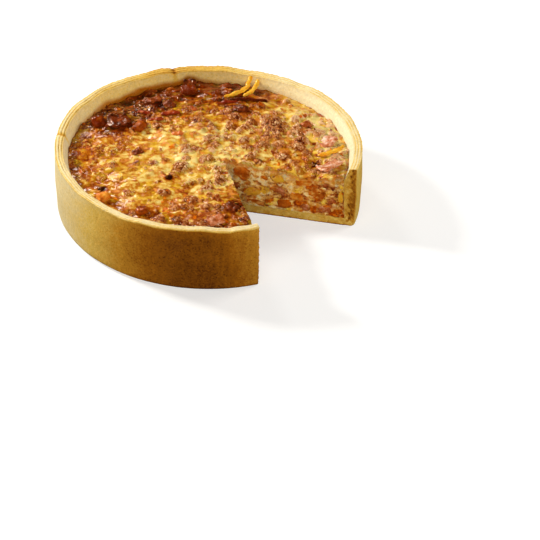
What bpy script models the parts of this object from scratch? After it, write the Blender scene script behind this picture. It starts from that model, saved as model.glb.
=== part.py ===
"""A deep savoury tart with a wedge cut away: a tall pastry case filled with set custard
that holds diced butternut, bacon and cheddar, with a browned, bumpy top.

The tart's centre is the origin, the table is the plane z = 0 and +Z is up. Both cuts
start at the apex, a little off the centre, and run out through the wall.
"""

import math

import bmesh
import bpy
import numpy as np
from mathutils import Matrix, Vector

MM = 0.001

# Pastry case, as radius and height of its corners
RIM_RADIUS = 120.3 * MM
BELLY_RADIUS = 122.3 * MM
RIM_HEIGHT = 53.8 * MM
BASE_THICKNESS = 7.0 * MM
BASE_ROUNDING = 4.0 * MM
INNER_FOOT_RADIUS = 113.2 * MM
INNER_WAIST_RADIUS = 110.6 * MM
INNER_RIM_RADIUS = 114.0 * MM
RIDGES = 3
RIDGE_DEPTH = 0.8 * MM
RIM_WAVE = 0.7 * MM
RIM_ROUGHNESS = 0.25 * MM
ROUGHNESS_TURNS = 41.0
OUT_OF_ROUND = 0.45 * MM

# Waves round the case: turns in a full circle, phase in radians and share of the height
RIM_WAVES = ((3.0, 0.5, 1.0), (7.0, 2.0, 0.6), (17.0, 0.0, 0.5), (29.0, 1.0, 0.35))
ROUNDNESS_WAVES = ((2.0, 0.9 + math.pi / 2.0, 1.0), (3.0, math.pi / 2.0 - 0.4, 0.5))

# The wall's way up from its belly: share of the rim's height, inset, share of the rim's wave
BELLY_TOP = (0.45, 0.0, 0.1)
SHOULDER = (0.75, 0.6 * MM, 0.4)

# The rim: its outer corner's drop, its top's inset, and how far it falls to the inside
RIM_CORNER_DROP = 1.2 * MM
RIM_TOP_INSET = 0.7 * MM
RIM_FALL = 1.3 * MM

# The inner wall under the rim: radius, drop from the rim and share of the rim's wave
INNER_LIP = (INNER_RIM_RADIUS - 0.4 * MM, 3.4 * MM, 0.8)
INNER_SHOULDER = (INNER_WAIST_RADIUS + 1.2 * MM, 8.0 * MM, 0.3)

# Cracks and a pinch in the rim: direction and width in degrees, depth in millimetres
RIM_DENTS = ((-83.0, 1.6, 0.9), (105.0, 1.3, 1.0), (174.0, 1.4, 1.1), (128.0, 2.6, 0.6), (42.0, 2.0, 0.5))

# The two cuts
APEX = Vector((10.4 * MM, -16.4 * MM, 0.0))
RIGHT_CUT = math.radians(-13.5)
LEFT_CUT = math.radians(-75.0)

# Filling
CENTRE_HEIGHT = 46.0 * MM
EDGE_DROP = 4.2 * MM
RIPPLE_HEIGHT = 0.32 * MM
RIPPLES = ((0.21, 0.09, 0.0, 1.0), (-0.13, 0.17, 1.3, 1.0), (0.31, -0.27, 0.6, 0.7), (0.19, 0.37, 2.1, 0.6))
NEIGHBOUR_GAP = 0.35 * MM
CUT_RELIEF = 0.7 * MM

# Finishes: how rough baked pastry and moist food are
DRY_ROUGHNESS = 0.7
MOIST_ROUGHNESS = 0.35

# How finely the curved surfaces are divided, and from what angle an edge is shaded sharp
SHARP_ANGLE = math.radians(40.0)
COLUMNS = 80
RING_SPLITS = (5, 5, 10, 10, 20, 20, 20, 40, 40, 40, 40, 40, 40, 80, 80, 80, 80, 80)
SIDE_ROWS = 3

# Pieces: how far they stand out of a cut, how far their middle lies behind it as a share
# of their depth, and how far a pocket clears them
CUT_PROUD = 0.6 * MM
CUT_SETBACK = 0.12
POCKET_CLEARANCE = 0.4 * MM

# Diced pieces: how far corners are out of place and how round edges are, as shares of the
# size. A pocket's flat chamfer touches the rounding of the squash from outside.
CORNER_SHIFT = 0.09
SQUASH_ROUNDING = 0.28
SQUASH_CHAMFER = 0.165
BACON_ROUNDING = 0.26

# Melted lumps: how often the ball is pulled along x, y and z, and by what share
LUMP_PULLS = ((5.0, 0.13), (7.0, 0.08), (6.0, 0.11))

# Slices: how much the edges thin, the corners are trimmed and the sheet waves, as shares,
# and how much the outline wanders lengthwise and crosswise, with how many turns
EDGE_THINNING = 0.55
CORNER_TRIM = 0.22
END_TRIM = 0.18
SHEET_WAVE = 0.1
WANDER_LONG = (9.0, 0.1)
WANDER_WIDE = (7.0, 0.12)

# Bacon narrower than this is a strip, with fewer faces than a broad slice
STRIP_WIDTH = 5.0 * MM

# Shreds: rings along, points around a ring, and the width left at the ends as a share
SHRED_STEPS = 7
SHRED_SIDES = 6
SHRED_END = 0.55

# How much the two long edges of a slice turn up, as a share of its width
CURLS = {"bacon": 0.08, "strip": 0.05, "bacon_curl": 0.15}

# Broad swellings (+) and hollows (-) of the top: x, y, height, radius, all in millimetres
SWELLS = (
    (-70.0, 40.0, 2.4, 15.0),
    (-42.0, 72.0, 2.2, 14.0),
    (8.0, 88.0, 1.6, 16.0),
    (52.0, 42.0, 1.8, 13.0),
    (84.0, 32.0, 1.9, 13.0),
    (26.0, 60.0, 1.5, 10.0),
    (-12.0, -18.0, 1.7, 11.0),
    (-55.0, -45.0, 1.4, 16.0),
    (4.0, -88.0, 1.9, 13.0),
    (-34.0, 10.0, 1.2, 14.0),
    (84.0, -19.0, -2.0, 7.0),
    (78.0, -33.0, -3.6, 14.0),
    (50.0, -24.0, -1.9, 16.0),
    (104.0, -39.0, 3.4, 9.0),
    (-50.0, 20.0, -1.2, 13.0),
    (-20.0, -60.0, -1.1, 14.0),
    (60.0, 72.0, -1.2, 12.0),
    (-62.0, 86.0, -3.6, 17.0),
)

COLOURS = {
    "pastry": (0.62, 0.40, 0.14),
    "custard": (0.72, 0.44, 0.12),
    "butternut": (0.70, 0.24, 0.02),
    "bacon": (0.33, 0.09, 0.05),
    "cheddar": (0.80, 0.42, 0.03),
    "onion": (0.30, 0.13, 0.04),
}

# Pieces on the top: name, kind, x, y, (length, width, thickness), turn, tilt, lift.
# Lengths are millimetres and angles degrees. The lift is from the filling to the middle.
TOP_PIECES = (
    ("butternut_top_1", "butternut", -89.5, 41.0, (11.0, 10.0, 9.0), 20, 14, 0.4),
    ("butternut_top_2", "butternut", -55.5, 33.5, (12.0, 8.0, 8.0), 62, -12, 0.0),
    ("butternut_top_3", "butternut", -17.5, 92.0, (11.0, 9.0, 8.0), 8, 16, 1.2),
    ("butternut_top_4", "butternut", -79.5, -64.0, (9.0, 8.0, 8.0), 35, 8, 0.2),
    ("butternut_top_5", "butternut", -50.0, -81.5, (8.0, 7.0, 7.0), 12, -6, 0.2),
    ("bacon_top_1", "bacon_curl", -72.5, 38.0, (19.0, 15.0, 4.2), 25, 6, 1.2),
    ("bacon_top_2", "bacon", -47.0, 73.0, (16.0, 10.0, 4.0), 20, -6, 1.2),
    ("bacon_top_3", "bacon", -33.0, 67.5, (12.0, 8.0, 3.6), -24, 8, 1.0),
    ("bacon_top_4", "bacon", -16.0, 103.0, (11.0, 7.0, 4.0), 6, 48, 3.0),
    ("bacon_top_5", "bacon", -56.0, -4.5, (9.0, 7.0, 3.4), 30, 5, 0.3),
    ("bacon_top_6", "bacon", 26.5, 59.5, (14.0, 8.5, 3.8), -8, 4, 0.5),
    ("bacon_top_7", "bacon", 79.5, 36.5, (10.0, 8.0, 3.6), -38, -8, 0.8),
    ("bacon_top_8", "bacon", 96.0, 13.5, (16.0, 12.0, 3.6), 62, -14, 0.8),
    ("bacon_top_9", "bacon_curl", 95.0, -20.5, (21.0, 15.0, 4.0), 38, -22, 2.0),
    ("bacon_top_10", "bacon", 5.0, -95.0, (13.0, 9.0, 4.0), 28, 12, 1.0),
    ("bacon_top_11", "bacon", 16.5, -79.0, (12.0, 8.0, 3.6), -40, 8, 0.8),
    ("bacon_strip_1", "strip", -53.0, 55.5, (11.0, 4.2, 2.8), -20, 0, 0.9),
    ("bacon_strip_2", "strip", -31.0, 53.5, (17.0, 4.6, 2.8), 14, 0, 0.9),
    ("bacon_strip_3", "strip", -14.0, 60.5, (10.0, 4.4, 2.8), -48, 0, 0.9),
    ("bacon_strip_4", "strip", -42.5, 43.0, (11.0, 3.8, 2.6), 4, 0, 0.8),
    ("bacon_strip_5", "strip", -25.0, 21.0, (10.0, 4.6, 2.4), 10, 0, 0.6),
    ("bacon_strip_6", "strip", 16.0, 72.5, (15.0, 3.6, 2.4), 8, 0, 0.9),
)

# Pieces that a cut went through: name, kind, side, distance along the cut, height,
# (length, height, depth), turn. Lengths are millimetres and the turn is in degrees.
CUT_PIECES = (
    ("butternut_right_1", "butternut", "right", 15.6, 37.2, (14.0, 10.6, 10.0), -24),
    ("butternut_right_2", "butternut", "right", 76.2, 27.4, (12.0, 9.2, 10.0), -16),
    ("butternut_right_3", "butternut", "right", 60.4, 21.4, (10.5, 5.6, 9.0), -8),
    ("butternut_right_4", "butternut", "right", 50.4, 13.6, (10.0, 7.4, 9.0), 14),
    ("butternut_right_5", "butternut", "right", 65.5, 35.4, (12.5, 4.0, 9.0), 4),
    ("butternut_right_6", "butternut", "right", 28.5, 11.2, (15.0, 4.2, 8.0), -4),
    ("cheddar_right_1", "cheddar", "right", 25.0, 21.0, (12.0, 8.4, 9.0), 8),
    ("cheddar_right_2", "cheddar", "right", 43.5, 36.4, (10.0, 8.0, 8.0), -14),
    ("cheddar_right_3", "cheddar", "right", 95.2, 26.0, (4.4, 10.0, 7.0), 6),
    ("bacon_right_1", "bacon_dice", "right", 11.0, 23.8, (8.0, 6.2, 8.0), 20),
    ("bacon_right_2", "bacon_dice", "right", 45.6, 25.4, (10.5, 6.2, 8.0), -22),
    ("bacon_right_3", "bacon_dice", "right", 81.8, 12.6, (10.5, 5.6, 8.0), 10),
    ("bacon_right_4", "bacon_dice", "right", 67.6, 12.8, (7.5, 5.0, 8.0), -30),
    ("bacon_right_5", "bacon_dice", "right", 84.4, 35.0, (9.0, 5.0, 8.0), -10),
    ("bacon_right_6", "bacon_dice", "right", 88.0, 20.6, (6.4, 4.6, 8.0), 34),
    ("butternut_left_1", "butternut", "left", 18.0, 34.0, (11.5, 10.0, 9.0), 16),
    ("butternut_left_2", "butternut", "left", 37.0, 15.6, (12.0, 9.5, 9.0), -20),
    ("butternut_left_3", "butternut", "left", 58.0, 30.4, (12.0, 8.5, 9.0), 8),
    ("butternut_left_4", "butternut", "left", 79.0, 17.4, (10.5, 9.5, 9.0), 30),
    ("cheddar_left_1", "cheddar", "left", 40.5, 31.6, (10.5, 8.0, 8.0), -10),
    ("cheddar_left_2", "cheddar", "left", 66.0, 15.4, (9.0, 8.0, 8.0), 16),
    ("bacon_left_1", "bacon_dice", "left", 20.5, 17.0, (10.0, 6.6, 8.0), -28),
    ("bacon_left_2", "bacon_dice", "left", 52.0, 17.6, (8.5, 6.0, 8.0), 22),
    ("bacon_left_3", "bacon_dice", "left", 74.0, 30.8, (11.0, 6.4, 8.0), -14),
    ("bacon_left_4", "bacon_dice", "left", 87.5, 27.0, (8.0, 7.0, 8.0), 26),
)

# Shreds that lie on the top: name, kind, width, thickness and the route's points as x, y
# and height over the filling, all in millimetres
SHREDS = (
    ("cheddar_shred_1", "cheddar", 3.4, 1.8,
     ((14.0, 81.0, 0.8), (24.0, 86.5, 1.6), (31.5, 95.0, 2.6), (34.0, 101.0, 6.2), (35.6, 104.0, 9.0))),
    ("cheddar_shred_2", "cheddar", 3.0, 1.8,
     ((30.0, 84.5, 0.8), (36.0, 91.0, 2.0), (40.5, 97.5, 5.0), (41.6, 100.6, 8.2))),
    ("cheddar_shred_3", "cheddar", 3.6, 1.8,
     ((86.5, -6.0, 0.6), (94.0, -4.4, 1.5), (101.0, -1.2, 2.4), (106.4, 2.6, 4.4))),
    ("onion_strand_1", "onion", 2.4, 1.6,
     ((19.0, 77.6, 0.9), (28.0, 77.2, 1.5), (38.0, 77.0, 1.4), (48.0, 75.6, 0.9))),
)


def material(name, colour, roughness):
    """A plain finish in one colour."""
    made = bpy.data.materials.new(name)
    made.use_nodes = True
    shader = made.node_tree.nodes["Principled BSDF"]
    shader.inputs["Base Color"].default_value = (*colour, 1.0)
    shader.inputs["Roughness"].default_value = roughness
    shader.inputs["Metallic"].default_value = 0.0
    return made


def new_object(name, mesh, finish):
    """A mesh object in the scene, shaded smooth up to a moderate angle."""
    mesh.materials.append(finish)
    mesh.shade_smooth()
    mesh.set_sharp_from_angle(angle=SHARP_ANGLE)
    made = bpy.data.objects.new(name, mesh)
    bpy.context.scene.collection.objects.link(made)
    return made


def mesh_from(name, points, faces):
    """A closed mesh from points and faces, with its normals turned outwards."""
    mesh = bpy.data.meshes.new(name)
    mesh.from_pydata([tuple(p) for p in points], [], faces)
    shape = bmesh.new()
    shape.from_mesh(mesh)
    bmesh.ops.remove_doubles(shape, verts=shape.verts, dist=1e-6)
    bmesh.ops.recalc_face_normals(shape, faces=shape.faces)
    shape.to_mesh(mesh)
    shape.free()
    return mesh


def wave_round(angle, waves):
    """The sum of the waves at an angle about the centre."""
    return sum(share * math.sin(turns * angle + phase) for turns, phase, share in waves)


def roundness(angle):
    """How far the wall departs from a true circle at an angle about the centre."""
    return OUT_OF_ROUND * wave_round(angle, ROUNDNESS_WAVES)


def heading(angle):
    """The unit vector that points along an angle in the plane."""
    return Vector((math.cos(angle), math.sin(angle), 0.0))


def reach(angle, radius):
    """The distance from the apex, along an angle, to the ring of that radius."""
    along = APEX.dot(heading(angle))
    distance = -along + math.sqrt(along * along - APEX.length_squared + radius * radius)
    spot = APEX + distance * heading(angle)
    return distance + roundness(math.atan2(spot.y, spot.x))


def column_angles(count):
    """The angles about the apex of count + 1 columns, from the right cut round to the left one."""
    sweep = LEFT_CUT + math.tau - RIGHT_CUT
    return [RIGHT_CUT + sweep * i / count for i in range(count + 1)]


def ripple(x, y):
    """Small waves of the baked top, from sines that cross each other."""
    wave = 0.0
    for turns_x, turns_y, phase, share in RIPPLES:
        wave += share * math.sin(turns_x * x / MM + turns_y * y / MM + phase)
    return RIPPLE_HEIGHT * wave


def filling_height(x, y):
    """The height of the filling's top: a low dome with swellings, hollows and small waves."""
    distance = math.hypot(x, y) / INNER_WAIST_RADIUS
    height = CENTRE_HEIGHT - EDGE_DROP * distance**3 + ripple(x, y)
    for swell_x, swell_y, rise, radius in SWELLS:
        gap = math.hypot(x / MM - swell_x, y / MM - swell_y) / radius
        height += rise * MM * math.exp(-gap * gap)
    return height


def pastry_profile():
    """Radius, height and share of the rim's unevenness, from the foot up and over the rim."""
    rows = []
    for step in range(4):
        turn = math.radians(30.0 * step)
        radius = BELLY_RADIUS - BASE_ROUNDING * (1.0 - math.sin(turn))
        rows.append((radius, BASE_ROUNDING * (1.0 - math.cos(turn)), 0.0))
    for rise, inset, wave_share in (BELLY_TOP, SHOULDER):
        rows.append((BELLY_RADIUS - inset, RIM_HEIGHT * rise, wave_share))
    rows.append((RIM_RADIUS, RIM_HEIGHT - RIM_CORNER_DROP, 1.0))
    outermost = RIM_RADIUS - RIM_TOP_INSET
    for step in range(2 * RIDGES + 1):
        share = step / (2 * RIDGES)
        radius = outermost - (outermost - INNER_RIM_RADIUS) * share
        groove = RIDGE_DEPTH if step % 2 else 0.0
        rows.append((radius, RIM_HEIGHT - groove - RIM_FALL * share, 1.0))
    for radius, drop, wave_share in (INNER_LIP, INNER_SHOULDER):
        rows.append((radius, RIM_HEIGHT - drop, wave_share))
    rows.append((INNER_WAIST_RADIUS, CENTRE_HEIGHT - EDGE_DROP, 0.0))
    rows.append((INNER_FOOT_RADIUS, BASE_THICKNESS, 0.0))
    return rows


def rim_wave(angle):
    """The rise and fall of the rim as it was trimmed by hand."""
    height = RIM_WAVE * wave_round(angle, RIM_WAVES)
    for direction, width, depth in RIM_DENTS:
        gap = (math.degrees(angle) - direction + 180.0) % 360.0 - 180.0
        height -= depth * MM * math.exp(-((gap / width) ** 2))
    return height


def pastry_case(finish):
    """The case: a base and a wall, the section carried round the apex between the cuts."""
    rows = pastry_profile()
    angles = column_angles(COLUMNS)
    across = COLUMNS + 1
    points = []
    for index, (radius, height, share) in enumerate(rows):
        for angle in angles:
            rough = share * RIM_ROUGHNESS * math.sin(ROUGHNESS_TURNS * angle + 1.7 * index)
            spot = APEX + heading(angle) * (reach(angle, radius) + rough)
            points.append((spot.x, spot.y, height + share * rim_wave(angle)))
    faces = []
    for row in range(len(rows) - 1):
        for column in range(COLUMNS):
            first = row * across + column
            faces.append((first, first + 1, first + across + 1, first + across))
    under = len(points)
    points.append((APEX.x, APEX.y, 0.0))
    over = len(points)
    points.append((APEX.x, APEX.y, BASE_THICKNESS))
    last = (len(rows) - 1) * across
    faces.append((under, *range(across)))
    faces.append((over, *range(last, last + across)))
    faces.append((under, *(row * across for row in range(len(rows))), over))
    faces.append((under, *(row * across + COLUMNS for row in range(len(rows))), over))
    return new_object("pastry_case", mesh_from("pastry_case", points, faces), finish)


def filling_radius(share):
    """The filling's radius from its foot (0) to its top edge (1), a gap inside the wall."""
    return INNER_FOOT_RADIUS + (INNER_WAIST_RADIUS - INNER_FOOT_RADIUS) * share - NEIGHBOUR_GAP


def top_ring(ring, splits):
    """The points of one ring of the top, from the right cut round to the left one."""
    share = ring / len(RING_SPLITS)
    points = []
    for angle in column_angles(splits):
        spot = APEX + heading(angle) * (share * reach(angle, filling_radius(1.0)))
        points.append((spot.x, spot.y, filling_height(spot.x, spot.y)))
    return points


def top_surface():
    """Points and faces of the top: rings about the apex, split in two where they get wide."""
    points = [(APEX.x, APEX.y, filling_height(APEX.x, APEX.y))]
    faces = []
    before = 0
    inner_splits = 0
    for ring, splits in enumerate(RING_SPLITS, start=1):
        start = len(points)
        points.extend(top_ring(ring, splits))
        for i in range(max(inner_splits, 1)):
            if inner_splits == 0:
                faces.extend((before, start + j, start + j + 1) for j in range(splits))
            elif splits == inner_splits:
                faces.append((before + i, start + i, start + i + 1, before + i + 1))
            else:
                middle = start + 2 * i
                faces.append((before + i, middle, middle + 1))
                faces.append((before + i, middle + 1, before + i + 1))
                faces.append((before + i + 1, middle + 1, middle + 2))
        before = start
        inner_splits = splits
    return points, faces


def wall_point(angle, ring_share, rise_share):
    """A point of the filling's side or cut, by its share of the way out and of the way up."""
    floor = BASE_THICKNESS + NEIGHBOUR_GAP
    top = APEX + heading(angle) * (ring_share * reach(angle, filling_radius(1.0)))
    height = floor + (filling_height(top.x, top.y) - floor) * rise_share
    spot = APEX + heading(angle) * (ring_share * reach(angle, filling_radius(rise_share)))
    return Vector((spot.x, spot.y, height))


def sheet_faces(start, columns, rows):
    """The quads of a grid of points that holds rows + 1 rows of columns + 1 points."""
    across = columns + 1
    corners = (start + row * across + column for row in range(rows) for column in range(columns))
    return [(i, i + 1, i + across + 1, i + across) for i in corners]


def unevenness(ring, row):
    """How deep a point of a cut lies, from 0 to 1, so that the cut is rough and not flat."""
    return 0.5 + 0.5 * math.sin(2.3 * ring + 1.9 * row) * math.cos(1.1 * ring - 2.7 * row)


def filling_body(finish):
    """The set custard: its bumpy top, its side against the wall, its floor and both cut faces."""
    points, faces = top_surface()
    rings = len(RING_SPLITS)
    outer = column_angles(RING_SPLITS[-1])
    start = len(points)
    for row in range(SIDE_ROWS + 1):
        points.extend(wall_point(angle, 1.0, row / SIDE_ROWS) for angle in outer)
    faces.extend(sheet_faces(start, len(outer) - 1, SIDE_ROWS))
    for angle, side in ((RIGHT_CUT, -1.0), (LEFT_CUT, 1.0)):
        inward = Matrix.Rotation(-side * math.pi / 2.0, 3, "Z") @ heading(angle)
        start = len(points)
        for row in range(SIDE_ROWS + 1):
            for ring in range(rings + 1):
                inner_point = 0 < row < SIDE_ROWS and 0 < ring < rings
                depth = CUT_RELIEF * unevenness(ring, row) if inner_point else 0.0
                points.append(wall_point(angle, ring / rings, row / SIDE_ROWS) + inward * depth)
        faces.extend(sheet_faces(start, rings, SIDE_ROWS))
    start = len(points)
    points.extend(wall_point(angle, 1.0, 0.0) for angle in outer)
    floor_edge = list(range(start, len(points)))
    for angle, order in ((LEFT_CUT, range(rings - 1, -1, -1)), (RIGHT_CUT, range(1, rings))):
        start = len(points)
        points.extend(wall_point(angle, ring / rings, 0.0) for ring in order)
        floor_edge.extend(range(start, len(points)))
    faces.append(tuple(floor_edge))
    return new_object("custard_filling", mesh_from("custard_filling", points, faces), finish)


def diced(size, seed, softness, segments):
    """A cut cube with rounded edges and corners that are a little out of place."""
    draw = np.random.default_rng(seed)
    shape = bmesh.new()
    bmesh.ops.create_cube(shape, size=1.0)
    for vertex in shape.verts:
        off = draw.uniform(-CORNER_SHIFT, CORNER_SHIFT, 3)
        vertex.co = Vector((vertex.co[i] + off[i]) * size[i] for i in range(3))
    edge = softness * min(size)
    edges = shape.edges[:]
    bmesh.ops.bevel(shape, geom=edges, offset=edge, segments=segments, profile=0.5, affect="EDGES")
    return shape


def lump(size, seed):
    """A melted lump: a ball pulled out of shape."""
    draw = np.random.default_rng(seed)
    phases = draw.uniform(0.0, math.tau, 3)
    shape = bmesh.new()
    bmesh.ops.create_icosphere(shape, subdivisions=2, radius=0.5)
    for vertex in shape.verts:
        grow = 1.0
        for value, (turns, share), phase in zip(vertex.co, LUMP_PULLS, phases):
            grow += share * math.sin(turns * value + phase)
        vertex.co = vertex.co * Vector(size) * grow
    return shape


def slab(size, seed, curl):
    """A slice of bacon: a wavy sheet with blunt edges, curled across its width."""
    draw = np.random.default_rng(seed)
    phase = draw.uniform(0.0, math.tau, 2)
    length, width, thickness = size
    turns_long, share_long = WANDER_LONG
    turns_wide, share_wide = WANDER_WIDE
    along, across = (5, 3) if width > STRIP_WIDTH else (4, 2)
    points = []
    for side in (1.0, -1.0):
        for i in range(along + 1):
            for j in range(across + 1):
                u = i / along - 0.5
                v = j / across - 0.5
                edge = 1.0 - EDGE_THINNING * max(abs(2.0 * u), abs(2.0 * v)) ** 4
                long = 1.0 - CORNER_TRIM * abs(2.0 * v) ** 2
                long += share_long * math.sin(turns_long * v + phase[1])
                wide = 1.0 - END_TRIM * abs(2.0 * u) ** 3
                wide += share_wide * math.sin(turns_wide * u + phase[0])
                wave = SHEET_WAVE * width * math.sin(6.5 * u + phase[0]) * (0.5 + v)
                bend = curl * width * (4.0 * v * v - 0.4)
                rise = wave + bend + side * 0.5 * thickness * edge
                points.append((u * length * long, v * width * wide, rise))
    rows = across + 1
    layer = (along + 1) * rows
    faces = []
    for i in range(along):
        for j in range(across):
            a = i * rows + j
            faces.append((a, a + rows, a + rows + 1, a + 1))
            faces.append((layer + a, layer + a + 1, layer + a + rows + 1, layer + a + rows))
    rim = [i * rows for i in range(along)]
    rim += [along * rows + j for j in range(across)]
    rim += [i * rows + across for i in range(along, 0, -1)]
    rim += list(range(across, 0, -1))
    for a, b in zip(rim, rim[1:] + rim[:1]):
        faces.append((a, b, layer + b, layer + a))
    shape = bmesh.new()
    shape.from_mesh(mesh_from("slab", points, faces))
    return shape


def smooth_route(points, count):
    """Points spaced evenly in parameter on a smooth curve through the given points."""
    ends = [points[0] * 2.0 - points[1], *points, points[-1] * 2.0 - points[-2]]
    spans = len(points) - 1
    route = []
    for step in range(count + 1):
        place = spans * step / count
        span = min(int(place), spans - 1)
        t = place - span
        a, b, c, d = ends[span : span + 4]
        bend = (a * 2.0 - b * 5.0 + c * 4.0 - d) * t * t + (b * 3.0 - a - c * 3.0 + d) * t * t * t
        route.append((b * 2.0 + (c - a) * t + bend) * 0.5)
    return route


def shred(points, width, thickness):
    """A flat strip with round edges that tapers to its ends, carried along a smooth route."""
    route = smooth_route(points, SHRED_STEPS)
    rings = []
    for i, spot in enumerate(route):
        ahead = route[min(i + 1, SHRED_STEPS)] - route[max(i - 1, 0)]
        ahead.normalize()
        level = Vector((0.0, 0.0, 1.0)).cross(ahead).normalized()
        rise = ahead.cross(level)
        size = SHRED_END + (1.0 - SHRED_END) * math.sin(math.pi * i / SHRED_STEPS) ** 0.5
        for j in range(SHRED_SIDES):
            turn = math.tau * j / SHRED_SIDES
            across = level * (0.5 * width * size * math.cos(turn))
            rings.append(spot + across + rise * (0.5 * thickness * size * math.sin(turn)))
    faces = []
    for i in range(SHRED_STEPS):
        for j in range(SHRED_SIDES):
            a = i * SHRED_SIDES + j
            b = i * SHRED_SIDES + (j + 1) % SHRED_SIDES
            faces.append((a, b, b + SHRED_SIDES, a + SHRED_SIDES))
    faces.append(tuple(range(SHRED_SIDES)))
    faces.append(tuple(range(SHRED_STEPS * SHRED_SIDES, (SHRED_STEPS + 1) * SHRED_SIDES)))
    shape = bmesh.new()
    shape.from_mesh(mesh_from("shred", rings, faces))
    return shape


def shape_of(kind, size, seed, plain):
    """The body of a piece about its own middle, by its kind, or a plainer one to carve with."""
    if kind == "butternut":
        rounding, segments = (SQUASH_CHAMFER, 1) if plain else (SQUASH_ROUNDING, 2)
        shape = diced(size, seed, rounding, segments)
    elif kind == "bacon_dice":
        shape = diced(size, seed, BACON_ROUNDING, 1)
    elif kind == "cheddar":
        shape = lump(size, seed)
    else:
        shape = slab(size, seed, CURLS[kind])
    bmesh.ops.triangulate(shape, faces=shape.faces)
    return shape


def add_pocket(name, shape, pockets):
    """The space that a piece takes up in the filling, a clearance wider than the piece."""
    bmesh.ops.recalc_face_normals(shape, faces=shape.faces)
    shape.normal_update()
    for vertex in shape.verts:
        vertex.co += vertex.normal * (POCKET_CLEARANCE * vertex.calc_shell_factor())
    mesh = bpy.data.meshes.new(name + "_pocket")
    shape.to_mesh(mesh)
    shape.free()
    pocket = bpy.data.objects.new(name + "_pocket", mesh)
    pocket.hide_render = True
    pocket.display_type = "WIRE"
    pockets.objects.link(pocket)


def add_piece(name, shape, finish, cut=None):
    """A piece as an object, cut flat at a point and direction when a knife went through it."""
    if cut is not None:
        spot, outward = cut
        geometry = shape.verts[:] + shape.edges[:] + shape.faces[:]
        bmesh.ops.bisect_plane(shape, geom=geometry, plane_co=spot, plane_no=outward, clear_outer=True)
        rim = [edge for edge in shape.edges if edge.is_boundary]
        if rim:
            bmesh.ops.contextual_create(shape, geom=rim)
    bmesh.ops.recalc_face_normals(shape, faces=shape.faces)
    mesh = bpy.data.meshes.new(name)
    shape.to_mesh(mesh)
    shape.free()
    return new_object(name, mesh, finish)


def scaled(size):
    """Millimetres as metres."""
    return tuple(value * MM for value in size)


def top_pieces(finishes, pockets):
    """The pieces that lie in the top, each sunk into it and tilted its own way."""
    for seed, (name, kind, x, y, size, turn, tilt, lift) in enumerate(TOP_PIECES, start=1):
        place = Vector((x * MM, y * MM, filling_height(x * MM, y * MM) + lift * MM))
        pose = Matrix.Translation(place) @ Matrix.Rotation(math.radians(turn), 4, "Z")
        pose @= Matrix.Rotation(math.radians(tilt), 4, "X")
        shape = shape_of(kind, scaled(size), seed, plain=False)
        shape.transform(pose)
        room = shape_of(kind, scaled(size), seed, plain=True)
        room.transform(pose)
        add_piece(name, shape, finishes["butternut" if kind == "butternut" else "bacon"])
        add_pocket(name, room, pockets)


def cut_pieces(finishes, pockets):
    """The pieces that the knife went through, flat where it passed and a little proud."""
    for seed, (name, kind, side, along, height, size, turn) in enumerate(CUT_PIECES, start=101):
        angle = RIGHT_CUT if side == "right" else LEFT_CUT
        outward = heading(angle - math.pi / 2.0 if side == "right" else angle + math.pi / 2.0)
        length, rise, depth = scaled(size)
        spot = APEX + heading(angle) * (along * MM) + Vector((0.0, 0.0, height * MM))
        middle = spot - outward * (CUT_SETBACK * depth)
        pose = Matrix.Translation(middle) @ Matrix.Rotation(angle, 4, "Z")
        pose @= Matrix.Rotation(math.radians(-turn), 4, "Y")
        shape = shape_of(kind, (length, depth, rise), seed, plain=False)
        shape.transform(pose)
        room = shape_of(kind, (length, depth, rise), seed, plain=True)
        room.transform(pose)
        finish = finishes["bacon" if kind == "bacon_dice" else kind]
        add_piece(name, shape, finish, cut=(APEX + outward * CUT_PROUD, outward))
        add_pocket(name, room, pockets)


def shreds(finishes, pockets):
    """The shreds of cheddar and the onion strand, each along its own smooth route."""
    for name, kind, width, thickness, route in SHREDS:
        points = []
        for x, y, over in route:
            points.append(Vector((x * MM, y * MM, filling_height(x * MM, y * MM) + over * MM)))
        shape = shred(points, width * MM, thickness * MM)
        add_pocket(name, shape.copy(), pockets)
        add_piece(name, shape, finishes[kind])


def cut_pockets(filling, pockets):
    """Takes the pockets out of the filling, so that each piece sits in its own."""
    cutter = filling.modifiers.new("pockets", "BOOLEAN")
    cutter.operation = "DIFFERENCE"
    cutter.operand_type = "COLLECTION"
    cutter.collection = pockets
    cutter.solver = "EXACT"


def main():
    """Builds the tart from its case outwards to the smallest piece."""
    for old in list(bpy.data.objects):
        bpy.data.objects.remove(old, do_unlink=True)
    finishes = {}
    for name, colour in COLOURS.items():
        finishes[name] = material(name, colour, DRY_ROUGHNESS if name == "pastry" else MOIST_ROUGHNESS)
    pockets = bpy.data.collections.new("pockets")
    pockets.hide_render = True
    bpy.context.scene.collection.children.link(pockets)
    pastry_case(finishes["pastry"])
    filling = filling_body(finishes["custard"])
    top_pieces(finishes, pockets)
    cut_pieces(finishes, pockets)
    shreds(finishes, pockets)
    cut_pockets(filling, pockets)


main()
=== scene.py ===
"""A deep savoury tart with a wedge cut away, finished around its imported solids.

The pastry case and the set custard are surfaces worked out as functions of two
parameters. The diced squash, bacon, cheddar and onion are refined from their solids.
Everything is in metres in the frame of the solids: the tart's centre is the origin, the
table is the plane z = 0 and +Z is up.
"""

import itertools
import logging
import math
from collections.abc import Callable, Iterable
from dataclasses import dataclass, field
from enum import Enum

import bmesh
import bpy
import numpy as np
from mathutils import Matrix, Vector


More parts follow.
